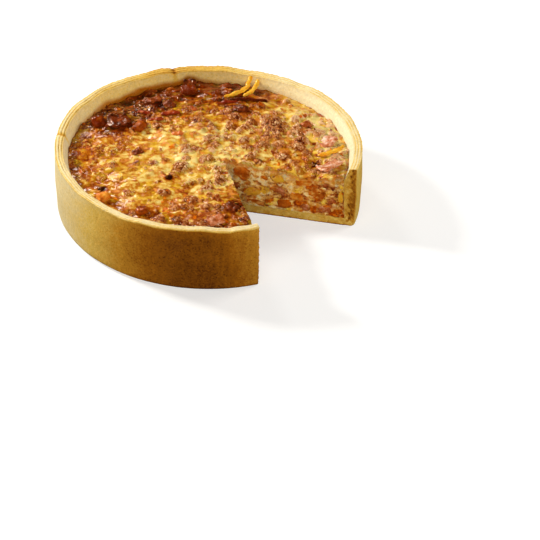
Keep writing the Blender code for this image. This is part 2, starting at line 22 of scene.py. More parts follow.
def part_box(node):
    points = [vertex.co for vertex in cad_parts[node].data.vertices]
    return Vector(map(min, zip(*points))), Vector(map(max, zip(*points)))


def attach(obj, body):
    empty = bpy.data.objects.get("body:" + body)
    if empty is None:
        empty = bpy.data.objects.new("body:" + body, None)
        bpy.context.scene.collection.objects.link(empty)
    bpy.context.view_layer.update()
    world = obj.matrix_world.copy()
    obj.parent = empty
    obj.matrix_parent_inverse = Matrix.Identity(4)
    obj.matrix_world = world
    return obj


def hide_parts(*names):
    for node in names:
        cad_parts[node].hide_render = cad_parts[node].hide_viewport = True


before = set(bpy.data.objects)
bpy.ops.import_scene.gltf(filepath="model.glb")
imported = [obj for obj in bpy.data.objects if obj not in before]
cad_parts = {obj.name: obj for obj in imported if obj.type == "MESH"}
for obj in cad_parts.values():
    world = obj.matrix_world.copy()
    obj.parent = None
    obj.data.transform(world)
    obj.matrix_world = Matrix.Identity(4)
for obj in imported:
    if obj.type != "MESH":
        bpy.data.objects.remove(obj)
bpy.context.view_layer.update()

LOG = logging.getLogger("tart")
MM = 0.001
Colour = tuple[float, float, float]
Stops = tuple[tuple[float, Colour], ...]
Array = np.ndarray
Baked = tuple[Array, dict[str, Array]]
Socket = bpy.types.NodeSocket
Items = bpy.types.bpy_prop_collection
Feed = Socket | float | Colour | str


def srgb(red: float, green: float, blue: float) -> Colour:
    """Gives the linear colour of a shade named by its screen values.

    Args:
        red: Screen red from 0 to 255.
        green: Screen green from 0 to 255.
        blue: Screen blue from 0 to 255.

    Returns:
        The three linear values from 0 to 1.
    """
    shares = np.array((red, green, blue)) / 255.0
    linear = np.where(shares <= 0.04045, shares / 12.92, ((shares + 0.055) / 1.055) ** 2.4)
    return tuple(float(value) for value in linear)


def ease(low: float, high: float, values: Array) -> Array:
    """Rises smoothly from 0 at low to 1 at high, by 3t^2 - 2t^3.

    Args:
        low: The value where the rise starts.
        high: The value where the rise ends.
        values: Where to evaluate it.

    Returns:
        The eased shares, one for each value.
    """
    share = np.clip((values - low) / (high - low), 0.0, 1.0)
    return share * share * (3.0 - 2.0 * share)


def hill(x: Array, y: Array, centre_x: float, centre_y: float, radius: float) -> Array:
    """A bell curve about a point in the plane, exp(-(distance / radius)^2).

    Args:
        x: Places across, in the unit of radius.
        y: Places along.
        centre_x: The middle across.
        centre_y: The middle along.
        radius: The distance at which the curve has dropped to 1/e.

    Returns:
        The curve's value at each place.
    """
    return np.exp(-((x - centre_x) ** 2 + (y - centre_y) ** 2) / radius**2)


def lobe(bearing: Array, centre: float, width: float) -> Array:
    """A bell curve about a direction, exp(-(gap / width)^2), with the gap the short way round.

    Args:
        bearing: Directions in degrees.
        centre: The direction of the middle.
        width: The gap at which the curve has dropped to 1/e.

    Returns:
        The curve's value in each direction.
    """
    gap = (bearing - centre + 180.0) % 360.0 - 180.0
    return np.exp(-((gap / width) ** 2))


def lobes(bearing: Array, rows: Iterable[tuple[float, float, float]]) -> Array:
    """The sum of bell curves about directions, from rows of direction, width and height."""
    return sum(height * lobe(bearing, centre, width) for centre, width, height in rows)


def fall(low: float, high: float, values: Array) -> Array:
    """Falls smoothly from 1 at low to 0 at high."""
    return 1.0 - ease(low, high, values)


def outline(right: Array, around: Array, left: Array) -> tuple[Array, list[Array]]:
    """One flat face's points, out along the right cut, round and back along the left one."""
    points = np.concatenate((right[:-1], around, left[::-1][1:-1]))
    return points, [np.arange(len(points))[None, :]]


def bell(values: Array, centre: float, width: float) -> Array:
    """A bell curve along a line, exp(-((value - centre) / width)^2)."""
    return np.exp(-(((values - centre) / width) ** 2))


def points_at(x: Array, y: Array, z: Array | float = 0.0) -> Array:
    """Rows of x, y and z, where z may be one number for them all."""
    return np.stack((x, y, np.broadcast_to(z, x.shape)), axis=-1)


def shades(*rows: tuple[float, int, int, int]) -> Stops:
    """Colour stops from rows of a position and its screen red, green and blue."""
    return tuple((position, srgb(*levels)) for position, *levels in rows)


class Noise:
    """Smooth random fields over space that come out the same on every run."""

    CODES = 1024
    GAIN = 1.8
    FINER = 2.03
    OFFSET = 11.7
    SITE_MARGIN = 0.15
    FLATTEST = 0.62

    def __init__(self, seed: int) -> None:
        """Draws the tables that every field of this noise reads.

        Args:
            seed: The number that fixes the draw.
        """
        draw = np.random.default_rng(seed)
        self.order = draw.permutation(self.CODES)
        self.shares = draw.random((self.CODES, 6))
        slopes = draw.normal(size=(self.CODES, 3))
        self.slopes = slopes / np.linalg.norm(slopes, axis=1, keepdims=True)

    def codes(self, i: Array, j: Array, k: Array) -> Array:
        """A table place for each lattice point, hashed from its three whole numbers."""
        last = self.CODES - 1
        return self.order[(self.order[(self.order[i & last] + j) & last] + k) & last]

    def layer(self, places: Array) -> Array:
        """Gradient noise: slopes at the lattice points, blended by a fifth-power ease.

        Args:
            places: Rows of x, y and z, in lattice cells.

        Returns:
            The noise at each place, about -0.6 to 0.6.
        """
        cells = np.floor(places).astype(int)
        inside = places - cells
        eased = inside**3 * (inside * (inside * 6.0 - 15.0) + 10.0)
        total = np.zeros(len(places))
        for corner in itertools.product((0, 1), repeat=3):
            code = self.codes(*(cells + corner).T)
            weight = np.prod(np.where(corner, eased, 1.0 - eased), axis=1)
            total += weight * np.einsum("ij,ij->i", self.slopes[code], inside - corner)
        return total

    def smooth(self, points: Array, wavelength: float, octaves: int = 1) -> Array:
        """A sum of noise layers, each twice as fine and half as strong as the last.

        Args:
            points: Places as rows of x, y and z.
            wavelength: The size of the coarsest features.
            octaves: How many layers are summed.

        Returns:
            About -1 to 1 at each place.
        """
        total = np.zeros(len(points))
        places = points / wavelength
        whole = 0.0
        for octave in range(octaves):
            strength = 0.5**octave
            total += strength * self.layer(places)
            whole += strength
            places = places * self.FINER + self.OFFSET
        return self.GAIN * total / whole

    def blend(self, points: Array, rows: Iterable[tuple[float, int, float]]) -> Array:
        """A sum of smooth fields, from rows of size, octaves and strength."""
        return sum(strength * self.smooth(points, size, octaves) for size, octaves, strength in rows)

    def domes(
        self,
        x: Array,
        y: Array,
        spacing: float,
        radii: tuple[float, float],
        crowd: Callable[[Array, Array], Array],
    ) -> tuple[Array, Array]:
        """Scattered oval domes, 1 - (distance / radius)^2, of which the highest counts.

        Each cell of a square lattice holds one site off its middle. A site has a dome if
        crowd is above its own random share there.

        Args:
            x: Places across.
            y: Places along.
            spacing: The side of a lattice cell.
            radii: The smallest and largest radius.
            crowd: Gives how crowded the domes are at a place, from 0 to 1.

        Returns:
            The dome's height, 1 at its top, 0 at its edge and down to -1 outside it, and a
            random share that is the same all over one dome.
        """
        column = np.floor(x / spacing).astype(int)
        row = np.floor(y / spacing).astype(int)
        highest = np.full(len(x), -1.0)
        winner = np.zeros(len(x), int)
        for right, up in itertools.product((-1, 0, 1), repeat=2):
            code = self.codes(column + right, row + up, np.zeros_like(row))
            share = self.shares[code]
            spread = 1.0 - 2.0 * self.SITE_MARGIN
            site_x = (column + right + self.SITE_MARGIN + spread * share[:, 0]) * spacing
            site_y = (row + up + self.SITE_MARGIN + spread * share[:, 1]) * spacing
            radius = radii[0] + (radii[1] - radii[0]) * share[:, 2]
            turn = math.tau * share[:, 3]
            along = (x - site_x) * np.cos(turn) + (y - site_y) * np.sin(turn)
            across = (y - site_y) * np.cos(turn) - (x - site_x) * np.sin(turn)
            flat = self.FLATTEST + (1.0 - self.FLATTEST) * share[:, 4]
            dome = 1.0 - (along**2 + (across / flat) ** 2) / radius**2
            dome = np.where(crowd(site_x, site_y) > share[:, 5], dome, -1.0)
            higher = dome > highest
            highest = np.where(higher, dome, highest)
            winner = np.where(higher, code, winner)
        return highest, self.shares[winner, 4]


def quads(rows: int, columns: int) -> Array:
    """The faces of a grid of points, row by row.

    Args:
        rows: How many rows of points there are.
        columns: How many points a row has.

    Returns:
        One row of four corners for each face.
    """
    first = (np.arange(rows - 1)[:, None] * columns + np.arange(columns - 1)).ravel()
    return np.stack((first, first + 1, first + columns + 1, first + columns), axis=1)


class Shell:
    """A closed surface put together from grids that share their borders."""

    WELD = 1e-6
    SHORTEST_EDGE = 1e-7

    def __init__(self) -> None:
        """Starts with no points and no faces."""
        self.points: list[Array] = []
        self.values: list[dict[str, Array]] = []
        self.faces: list[Array] = []
        self.count = 0

    def add(self, points: Array, faces: Iterable[Array], **values: Array | float) -> None:
        """Adds points with their named values, and faces that number them from 0.

        Args:
            points: Rows of x, y and z.
            faces: Arrays of corners, each with one row for each face.
            **values: A number for each point, or one for them all, under each name.
        """
        self.points.append(points)
        self.values.append({name: np.broadcast_to(v, len(points)) for name, v in values.items()})
        self.faces.extend(face + self.count for face in faces)
        self.count += len(points)

    def finish(self, name: str) -> bpy.types.Object:
        """Welds the shared borders and makes the object, with its faces turned outwards.

        Args:
            name: The piece's name.

        Returns:
            The new object, which holds the named values as point attributes.
        """
        points = np.concatenate(self.points)
        keys = np.round(points / self.WELD).astype(np.int64)
        first, place = np.unique(keys, axis=0, return_index=True, return_inverse=True)[1:]
        place = place.ravel()
        sizes = np.concatenate([np.full(len(face), face.shape[1]) for face in self.faces])
        corners = place[np.concatenate([face.ravel() for face in self.faces])]
        mesh = bpy.data.meshes.new(name)
        mesh.vertices.add(len(first))
        mesh.vertices.foreach_set("co", points[first].ravel())
        mesh.loops.add(len(corners))
        mesh.loops.foreach_set("vertex_index", corners)
        mesh.polygons.add(len(sizes))
        mesh.polygons.foreach_set("loop_start", np.concatenate(([0], np.cumsum(sizes)[:-1])))
        mesh.update(calc_edges=True)
        for value in self.values[0]:
            carry(mesh, value, np.concatenate([values[value] for values in self.values])[first])
        shape = bmesh.new()
        shape.from_mesh(mesh)
        bmesh.ops.dissolve_degenerate(shape, dist=self.SHORTEST_EDGE, edges=shape.edges)
        bmesh.ops.recalc_face_normals(shape, faces=shape.faces)
        shape.to_mesh(mesh)
        shape.free()
        return add_object(name, mesh)


def link_object(name: str, data: bpy.types.ID) -> bpy.types.Object:
    """Makes an object of a mesh, a light or a camera and puts it in the scene."""
    made = bpy.data.objects.new(name, data)
    bpy.context.scene.collection.objects.link(made)
    return made


def add_object(name: str, mesh: bpy.types.Mesh) -> bpy.types.Object:
    """Puts a mesh in the scene under a name, shaded smooth."""
    mesh.shade_smooth()
    return link_object(name, mesh)


def carry(mesh: bpy.types.Mesh, name: str, values: Array) -> None:
    """Gives a mesh one number at each of its points, under a name."""
    layer = mesh.attributes.get(name) or mesh.attributes.new(name, "FLOAT", "POINT")
    layer.data.foreach_set("value", values.astype(np.float32))


def fetch(items: Items, name: str, width: int, kind: type) -> Array:
    """Reads one property of a mesh's items.

    Args:
        items: The mesh's points, edges or attribute values.
        name: The property's name.
        width: How many numbers an item has.
        kind: The type of the numbers.

    Returns:
        One row for each item.
    """
    values = np.empty(len(items) * width, kind)
    items.foreach_get(name, values)
    return values.reshape(-1, width)


class Recipe:
    """Puts a material's or a group's nodes together, left to right."""

    SETTING = "set_"

    def __init__(self, tree: bpy.types.NodeTree) -> None:
        """Starts on an empty tree.

        Args:
            tree: The node tree to fill.
        """
        self.tree = tree
        tree.nodes.clear()

    @classmethod
    def for_material(cls, name: str) -> tuple[bpy.types.Material, "Recipe"]:
        """Makes a material and starts its recipe.

        Args:
            name: The material's name.

        Returns:
            The new material and its empty recipe.
        """
        made = bpy.data.materials.new(name)
        made.use_nodes = True
        return made, cls(made.node_tree)

    @classmethod
    def for_group(cls, name: str, inputs: dict[str, str], outputs: tuple[str, ...]) -> tuple["Recipe", Items]:
        """Makes a node group with its sockets and starts its recipe.

        Args:
            name: The group's name.
            inputs: The type of each input under the input's name.
            outputs: The names of the outputs, which are all numbers.

        Returns:
            The recipe, and the sockets that bring the inputs in.
        """
        tree = bpy.data.node_groups.new(name, "ShaderNodeTree")
        for socket, kind in inputs.items():
            tree.interface.new_socket(socket, in_out="INPUT", socket_type=f"NodeSocket{kind}")
        for socket in outputs:
            tree.interface.new_socket(socket, in_out="OUTPUT", socket_type="NodeSocketFloat")
        made = cls(tree)
        return made, made.node("NodeGroupInput").outputs

    def node(self, kind: str, **inputs: Feed) -> bpy.types.Node:
        """Adds a node and feeds its inputs.

        Args:
            kind: The node's type name.
            **inputs: Values or sockets for inputs, named with _ for a space, or n and the
                input's number. A name that starts with set_ is one of the node's own
                settings.

        Returns:
            The new node.
        """
        made = self.tree.nodes.new(kind)
        settings = {name: value for name, value in inputs.items() if name.startswith(self.SETTING)}
        for name, value in settings.items():
            setattr(made, name.removeprefix(self.SETTING), value)
        for name, value in inputs.items():
            if name not in settings:
                key = int(name[1:]) if name[1:].isdigit() else name.replace("_", " ")
                self.feed(made.inputs[key], value)
        return made

    def feed(self, socket: Socket, value: Feed) -> None:
        """Links a socket to an input, or sets the input's own value.

        Args:
            socket: The input.
            value: A socket, a number or a colour.
        """
        if isinstance(value, Socket):
            self.tree.links.new(value, socket)
        elif isinstance(value, tuple) and len(value) == 3 and socket.type == "RGBA":
            socket.default_value = (*value, 1.0)
        else:
            socket.default_value = value

    def math(self, operation: str, first: Feed, second: Feed = 0.0, clamp: bool = False) -> Socket:
        """One sum on two numbers, each a value or a socket."""
        kind = "ShaderNodeMath"
        made = self.node(kind, set_operation=operation, set_use_clamp=clamp, n0=first, n1=second)
        return made.outputs[0]

    def add(self, first: Feed, second: Feed, clamp: bool = False) -> Socket:
        """The sum of two numbers."""
        return self.math("ADD", first, second, clamp)

    def scaled(self, value: Feed, factor: float, shift: float = 0.0) -> Socket:
        """A number times a factor, plus a shift."""
        made = self.node("ShaderNodeMath", set_operation="MULTIPLY_ADD", n0=value, n1=factor, n2=shift)
        return made.outputs[0]

    def centred(self, value: Feed, factor: float) -> Socket:
        """A number from 0 to 1 made to swing by a factor about 0."""
        return self.scaled(value, factor, -factor / 2.0)

    def fade(self, value: Feed, low: float, high: float) -> Socket:
        """Rises smoothly from 0 where the value is low to 1 where it is high."""
        made = self.node(
            "ShaderNodeMapRange",
            set_interpolation_type="SMOOTHSTEP",
            Value=value,
            From_Min=low,
            From_Max=high,
        )
        return made.outputs[0]

    def value(self, name: str) -> Socket:
        """A number that the mesh carries at each point."""
        made = self.node("ShaderNodeAttribute", set_attribute_name=name)
        return made.outputs["Fac"]

    def ramp(self, value: Feed, stops: Stops) -> Socket:
        """Colours along a number from 0 to 1.

        Args:
            value: The socket that places a point on the ramp.
            stops: Positions with their colours, in order.

        Returns:
            The colour socket.
        """
        made = self.node("ShaderNodeValToRGB", Fac=value)
        elements = made.color_ramp.elements
        for _ in range(len(stops) - len(elements)):
            elements.new(0.5)
        for element, (position, colour) in zip(elements, stops):
            element.position = position
            element.color = (*colour, 1.0)
        return made.outputs["Color"]

    def mix(self, share: Feed, first: Feed, second: Feed) -> Socket:
        """The first colour where the share is 0, the second where it is 1."""
        kind = "ShaderNodeMix"
        made = self.node(kind, set_data_type="RGBA", set_clamp_factor=True, Factor=share, n6=first, n7=second)
        return made.outputs[2]

    def clouds(self, place: Socket, scale: Feed, detail: float = 2.0, rough: float = 0.5) -> Socket:
        """Cloudy noise from 0 to 1 with so many features to the metre."""
        kind = "ShaderNodeTexNoise"
        return self.node(kind, Vector=place, Scale=scale, Detail=detail, Roughness=rough).outputs["Fac"]

    def noise(self, place: Socket, size: float, detail: float = 2.0, rough: float = 0.5) -> Socket:
        """Cloudy noise from 0 to 1 whose features are about that size, in metres."""
        return self.clouds(place, 1.0 / size, detail, rough)

    def group(self, tree: bpy.types.NodeTree, **inputs: Feed) -> bpy.types.Node:
        """Places a node group and feeds its inputs."""
        return self.node("ShaderNodeGroup", set_node_tree=tree, **inputs)

    def place(self) -> Socket:
        """The place on the object, in metres from its origin."""
        return self.node("ShaderNodeTexCoord").outputs["Object"]

    def bump(self, height: Feed, strength: Feed, depth: float, **inputs: Feed) -> Socket:
        """A normal tilted by a height from 0 to 1 that stands for so deep a relief."""
        made = self.node("ShaderNodeBump", Height=height, Strength=strength, Distance=depth, **inputs)
        return made.outputs[0]

    def surface(self, **inputs: Feed) -> None:
        """Ends a material with one principled shader."""
        shader = self.node("ShaderNodeBsdfPrincipled", **inputs)
        self.node("ShaderNodeOutputMaterial", Surface=shader.outputs[0])


class Effects:
    """Node groups that more than one finish uses, each built once."""

    CRUMB_SHARES = (0.25, 0.75)
    PORE_EDGE = (0.34, 0.1)
    PORE_DEPTH = 0.35
    OIL_EDGE = (0.3, 0.7)
    LEAST_ROUGHNESS = 0.15

    def __init__(self) -> None:
        """Builds the groups."""
        self.crumb = self.build_crumb()
        self.sizzle = self.build_sizzle()

    def build_crumb(self) -> bpy.types.NodeTree:
        """Baked crumb: broad mottling, a fine grain and pores, at sizes set by Grain.

        Returns:
            The node group.
        """
        inputs = {"Place": "Vector", "Grain": "Float"}
        made, given = Recipe.for_group("baked_crumb", inputs, ("Mottle", "Pores", "Height"))
        place = given["Place"]
        grain = made.math("DIVIDE", 1.0, given["Grain"])
        fine = made.clouds(place, grain, 4.0, 0.62)
        broad = made.clouds(place, made.scaled(grain, 0.17), 3.0)
        pores = made.node("ShaderNodeTexVoronoi", Vector=place, Scale=made.scaled(grain, 0.55))
        pore = made.fade(pores.outputs["Distance"], *self.PORE_EDGE)
        shares = self.CRUMB_SHARES
        mottle = made.add(made.scaled(broad, shares[0]), made.scaled(fine, shares[1]))
        height = made.math("SUBTRACT", fine, made.scaled(pore, self.PORE_DEPTH))
        made.node("NodeGroupOutput", Mottle=mottle, Pores=pore, Height=height)
        return made.tree

    def build_sizzle(self) -> bpy.types.NodeTree:
        """Fried, oily skin: tiny blisters and wrinkles with a roughness that varies.

        Returns:
            The node group.
        """
        inputs = {"Place": "Vector", "Size": "Float", "Dryness": "Float"}
        made, given = Recipe.for_group("oily_skin", inputs, ("Tone", "Height", "Roughness"))
        place = given["Place"]
        scale = made.math("DIVIDE", 1.0, given["Size"])
        cloud = made.clouds(place, scale, 3.0, 0.6)
        cloud.node.inputs["Distortion"].default_value = 0.6
        kind = "ShaderNodeTexVoronoi"
        cells = made.node(kind, set_feature="SMOOTH_F1", Vector=place, Scale=made.scaled(scale, 1.3))
        dots = made.math("SUBTRACT", 1.0, cells.outputs["Distance"])
        height = made.add(made.scaled(cloud, 0.65), made.scaled(dots, 0.35))
        sheen = made.clouds(place, made.scaled(scale, 0.3), 2.0)
        rough = made.math("MULTIPLY", made.fade(sheen, *self.OIL_EDGE), given["Dryness"])
        rough = made.scaled(rough, 1.0, self.LEAST_ROUGHNESS)
        made.node("NodeGroupOutput", Tone=cloud, Height=height, Roughness=rough)
        return made.tree


@dataclass(frozen=True)
class PastryFinish:
    """Baked shortcrust: pale at the rim and inside, golden brown on the wall."""

    effects: Effects
    stops: Stops = shades(
        (0.0, 228, 219, 184),
        (0.2, 227, 204, 150),
        (0.4, 222, 184, 88),
        (0.6, 198, 140, 43),
        (0.8, 150, 90, 16),
        (1.0, 84, 40, 8),
    )
    stain: Colour = srgb(172, 98, 12)
    grain: float = 1.3 * MM
    fleck: float = 2.2 * MM
    relief: float = 0.25 * MM
    mottling: float = 0.4
    pore_browning: float = 0.1
    specular: float = 0.12

    def make(self) -> bpy.types.Material:
        """Builds the material, which reads the mesh's bake and stain values.

        Returns:
            The material.
        """
        made, nodes = Recipe.for_material("baked_shortcrust")
        place = nodes.place()
        crumb = nodes.group(self.effects.crumb, Place=place, Grain=self.grain).outputs
        mottle = nodes.centred(crumb["Mottle"], self.mottling)
        bake = nodes.add(nodes.value("bake"), mottle)
        bake = nodes.add(bake, nodes.scaled(crumb["Pores"], self.pore_browning), clamp=True)
        stained = nodes.math("MULTIPLY", nodes.value("stain"), nodes.scaled(mottle, 1.5, 1.0), clamp=True)
        colour = nodes.mix(stained, nodes.ramp(bake, self.stops), self.stain)
        lightness = nodes.scaled(nodes.noise(place, self.fleck, 3.0, 0.65), 0.6, 0.7)
        flecked = nodes.node("ShaderNodeHueSaturation", Color=colour, Value=lightness)
        nodes.surface(
            Base_Color=flecked.outputs["Color"],
            Roughness=nodes.scaled(crumb["Mottle"], 0.2, 0.6),
            Normal=nodes.bump(crumb["Height"], 0.5, self.relief),
            Specular_IOR_Level=self.specular,
        )
        return made


@dataclass(frozen=True)
class CustardFinish:
    """The filling: a browned, oily top over pale custard with a mixture of bits in it."""

    effects: Effects
    golden: Stops = shades(
        (0.0, 232, 208, 128),
        (0.2, 218, 176, 82),
        (0.4, 188, 114, 22),
        (0.58, 152, 68, 6),
        (0.76, 108, 34, 3),
        (1.0, 40, 12, 3),
    )
    meaty: Stops = shades(
        (0.0, 238, 192, 142),
        (0.22, 212, 148, 90),
        (0.42, 176, 98, 40),
        (0.6, 134, 52, 10),
        (0.78, 94, 26, 4),
        (1.0, 40, 12, 4),
    )
    cream: Stops = shades(
        (0.30, 172, 100, 30), (0.38, 226, 164, 76), (0.46, 254, 212, 126), (0.62, 255, 238, 186)
    )
    squash: Stops = shades((0.0, 126, 42, 3), (0.5, 190, 84, 6), (1.0, 234, 132, 24))
    bacon: Stops = shades((0.0, 88, 26, 4), (0.5, 150, 60, 14), (1.0, 218, 130, 54))
    cheddar: Stops = shades((0.0, 216, 150, 26), (0.5, 248, 196, 56), (1.0, 254, 222, 110))
    juice: Colour = srgb(208, 130, 24)
    glow: Colour = srgb(214, 122, 26)
    oil: Colour = srgb(234, 178, 30)
    syrup: Colour = srgb(84, 28, 2)
    sheen: Colour = (1.0, 0.74, 0.54)
    skin_size: float = 1.6 * MM
    nodule_size: float = 2.1 * MM
    swirl_size: float = 2.8 * MM
    curd_size: float = 3.2 * MM
    patch_size: float = 4.8 * MM
    oil_size: float = 10.0 * MM
    skin_relief: float = 0.4 * MM
    nodule_relief: float = 1.2 * MM
    coat: float = 0.04
    subsurface: float = 0.08
    scatter: float = 1.5 * MM

    def make(self) -> bpy.types.Material:
        """Builds the material, which reads the mesh's browning and mixture values.

        Returns:
            The material.
        """
        made, nodes = Recipe.for_material("browned_custard")
        place = nodes.place()
        wet = nodes.value("wet")
        skin = nodes.group(self.effects.sizzle, Place=place, Size=self.skin_size, Dryness=0.2).outputs
        dry = nodes.math("MINIMUM", nodes.scaled(wet, -0.75, 1.0), 1.0)
        tone = nodes.math("MULTIPLY", nodes.centred(skin["Tone"], 1.0), dry)
        patch = nodes.centred(nodes.noise(place, self.patch_size, 2.0, 0.5), 1.3)
        patch = nodes.math("MULTIPLY", patch, dry)
        blister = nodes.value("blister")
        nodule = nodes.math("ABSOLUTE", nodes.centred(nodes.noise(place, self.nodule_size, 1.0), 1.0))
        nodule = nodes.fade(nodule, 0.0, 0.16)
        # Painted shade and highlight: browner in the gaps between nodules on the blisters, paler on their
        # tops.
        nodule_shading = nodes.math("MULTIPLY", blister, nodes.scaled(nodule, -0.34, 0.2))
        brown = nodes.add(nodes.value("brown"), nodes.scaled(tone, 0.45))
        brown = nodes.add(brown, nodes.add(patch, nodule_shading), clamp=True)
        top = self.baked_skin(nodes, place, brown, patch)
        depth = nodes.add(nodes.value("depth"), nodes.scaled(patch, 6.0))
        buried = nodes.fade(depth, 0.3, 2.0)
        colour = nodes.mix(buried, top, self.cut_custard(nodes, place, depth, patch))
        blend = nodes.scaled(nodes.noise(place, self.swirl_size, 4.0, 0.62), 2.8, -0.85)
        for name, stops in (("cheddar", self.cheddar), ("bacon", self.bacon), ("squash", self.squash)):
            share = nodes.fade(nodes.add(nodes.value(name), nodes.scaled(tone, 2.0)), -0.35, 0.55)
            colour = nodes.mix(share, colour, nodes.ramp(blend, stops))
        bump = nodes.bump(nodes.math("MULTIPLY", blister, nodule), 0.85, self.nodule_relief)
        bump = nodes.bump(skin["Height"], nodes.scaled(dry, 0.35), self.skin_relief, Normal=bump)
        burnt = nodes.fade(nodes.value("brown"), 0.9, 1.2)
        pale = nodes.fade(nodes.add(brown, nodes.scaled(wet, 0.5)), 0.5, 0.15)
        matte = nodes.math("MAXIMUM", burnt, nodes.scaled(nodes.math("MAXIMUM", buried, pale), 0.6))
        matte = nodes.math("MINIMUM", nodes.math("MAXIMUM", matte, nodes.scaled(wet, -1.4)), 1.0)
        glossy = nodes.scaled(matte, -1.0, 1.0)
        nodes.surface(
            Base_Color=colour,
            Roughness=nodes.add(skin["Roughness"], nodes.scaled(buried, 0.26, -0.12)),
            Normal=bump,
            Coat_Weight=nodes.scaled(matte, -self.coat, self.coat),
            Coat_Roughness=0.05,
            Specular_IOR_Level=nodes.math("MULTIPLY", glossy, nodes.scaled(blister, 0.2, 0.34)),
            Specular_Tint=self.sheen,
            Subsurface_Weight=self.subsurface,
            Subsurface_Scale=self.scatter,
        )
        return made

    def baked_skin(self, nodes: Recipe, place: Socket, brown: Socket, patch: Socket) -> Socket:
        """The top's colour: golden, with oily patches, and meaty where the bacon lies.

        Args:
            nodes: The material's recipe.
            place: The place on the object.
            brown: How brown the skin is, from 0 to 1.
            patch: A patchy number about 0.

        Returns:
            The colour socket.
        """
        oily = nodes.fade(nodes.noise(place, self.oil_size, 3.0, 0.55), 0.52, 0.62)
        oil = nodes.mix(brown, self.oil, self.syrup)
        top = nodes.mix(nodes.scaled(oily, 0.75), nodes.ramp(brown, self.golden), oil)
        red = nodes.fade(nodes.add(nodes.value("red"), nodes.scaled(patch, 1.2)), 0.3, 0.62)
        return nodes.mix(red, top, nodes.ramp(brown, self.meaty))

    def cut_custard(self, nodes: Recipe, place: Socket, depth: Socket, patch: Socket) -> Socket:
        """The colour in the cuts: curds, juice around the bits, and a glow below the skin.

        Args:
            nodes: The material's recipe.
            place: The place on the object.
            depth: How far below the top a place is, in millimetres, made uneven.
            patch: A patchy number about 0.

        Returns:
            The colour socket.
        """
        curds = nodes.ramp(nodes.noise(place, self.curd_size, 4.0, 0.62), self.cream)
        nearest = nodes.math("MAXIMUM", nodes.value("squash"), nodes.value("bacon"))
        halo = nodes.fade(nodes.add(nearest, nodes.scaled(patch, 1.5)), -0.85, -0.1)
        curds = nodes.mix(nodes.scaled(halo, 0.75), curds, self.juice)
        return nodes.mix(nodes.scaled(nodes.fade(depth, 1.5, 5.5), -0.85, 0.85), curds, self.glow)


class Kind(Enum):
    """What a small piece is, by the first word of its node's name."""

    BUTTERNUT = "butternut"
    STRIP = "bacon_strip"
    BACON = "bacon"
    CHEDDAR = "cheddar"
    ONION = "onion"


@dataclass(frozen=True)
class MorselFinish:
    """A moist cooked piece: two tones that swirl together, darker where it is seared."""

    effects: Effects
    name: str
    stops: Stops
    size: float
    dryness: float
    coat: float
    subsurface: float
    relief: float
    lap_dark: Colour = srgb(196, 112, 28)
    lap_pale: Colour = srgb(244, 196, 104)
    sheen: Colour = (1.0, 0.66, 0.4)
    specular: float = 0.45
    scatter: float = 2.0 * MM
    swirl: float = 3.6

    def make(self) -> bpy.types.Material:
        """Builds the material, which reads the mesh's sear and smear values.

        Returns:
            The material.
        """
        made, nodes = Recipe.for_material(self.name)
        place = nodes.place()
        skin = nodes.group(self.effects.sizzle, Place=place, Size=self.size, Dryness=self.dryness).outputs
        broad = nodes.noise(place, self.size * self.swirl, 3.0, 0.55)
        tone = nodes.add(nodes.scaled(broad, 1.4, -0.35), nodes.scaled(skin["Tone"], 0.3))
        tone = nodes.math("SUBTRACT", tone, nodes.value("sear"), clamp=True)
        lap = nodes.mix(nodes.fade(broad, 0.35, 0.6), self.lap_dark, self.lap_pale)
        nodes.surface(
            Base_Color=nodes.mix(nodes.value("smear"), nodes.ramp(tone, self.stops), lap),
            Roughness=skin["Roughness"],
            Normal=nodes.bump(skin["Height"], self.relief, 0.4 * MM),
            Specular_IOR_Level=self.specular,
            Specular_Tint=self.sheen,
            Subsurface_Weight=self.subsurface,
            Subsurface_Scale=self.scatter,
            Coat_Weight=self.coat,
            Coat_Roughness=0.1,
        )
        return made


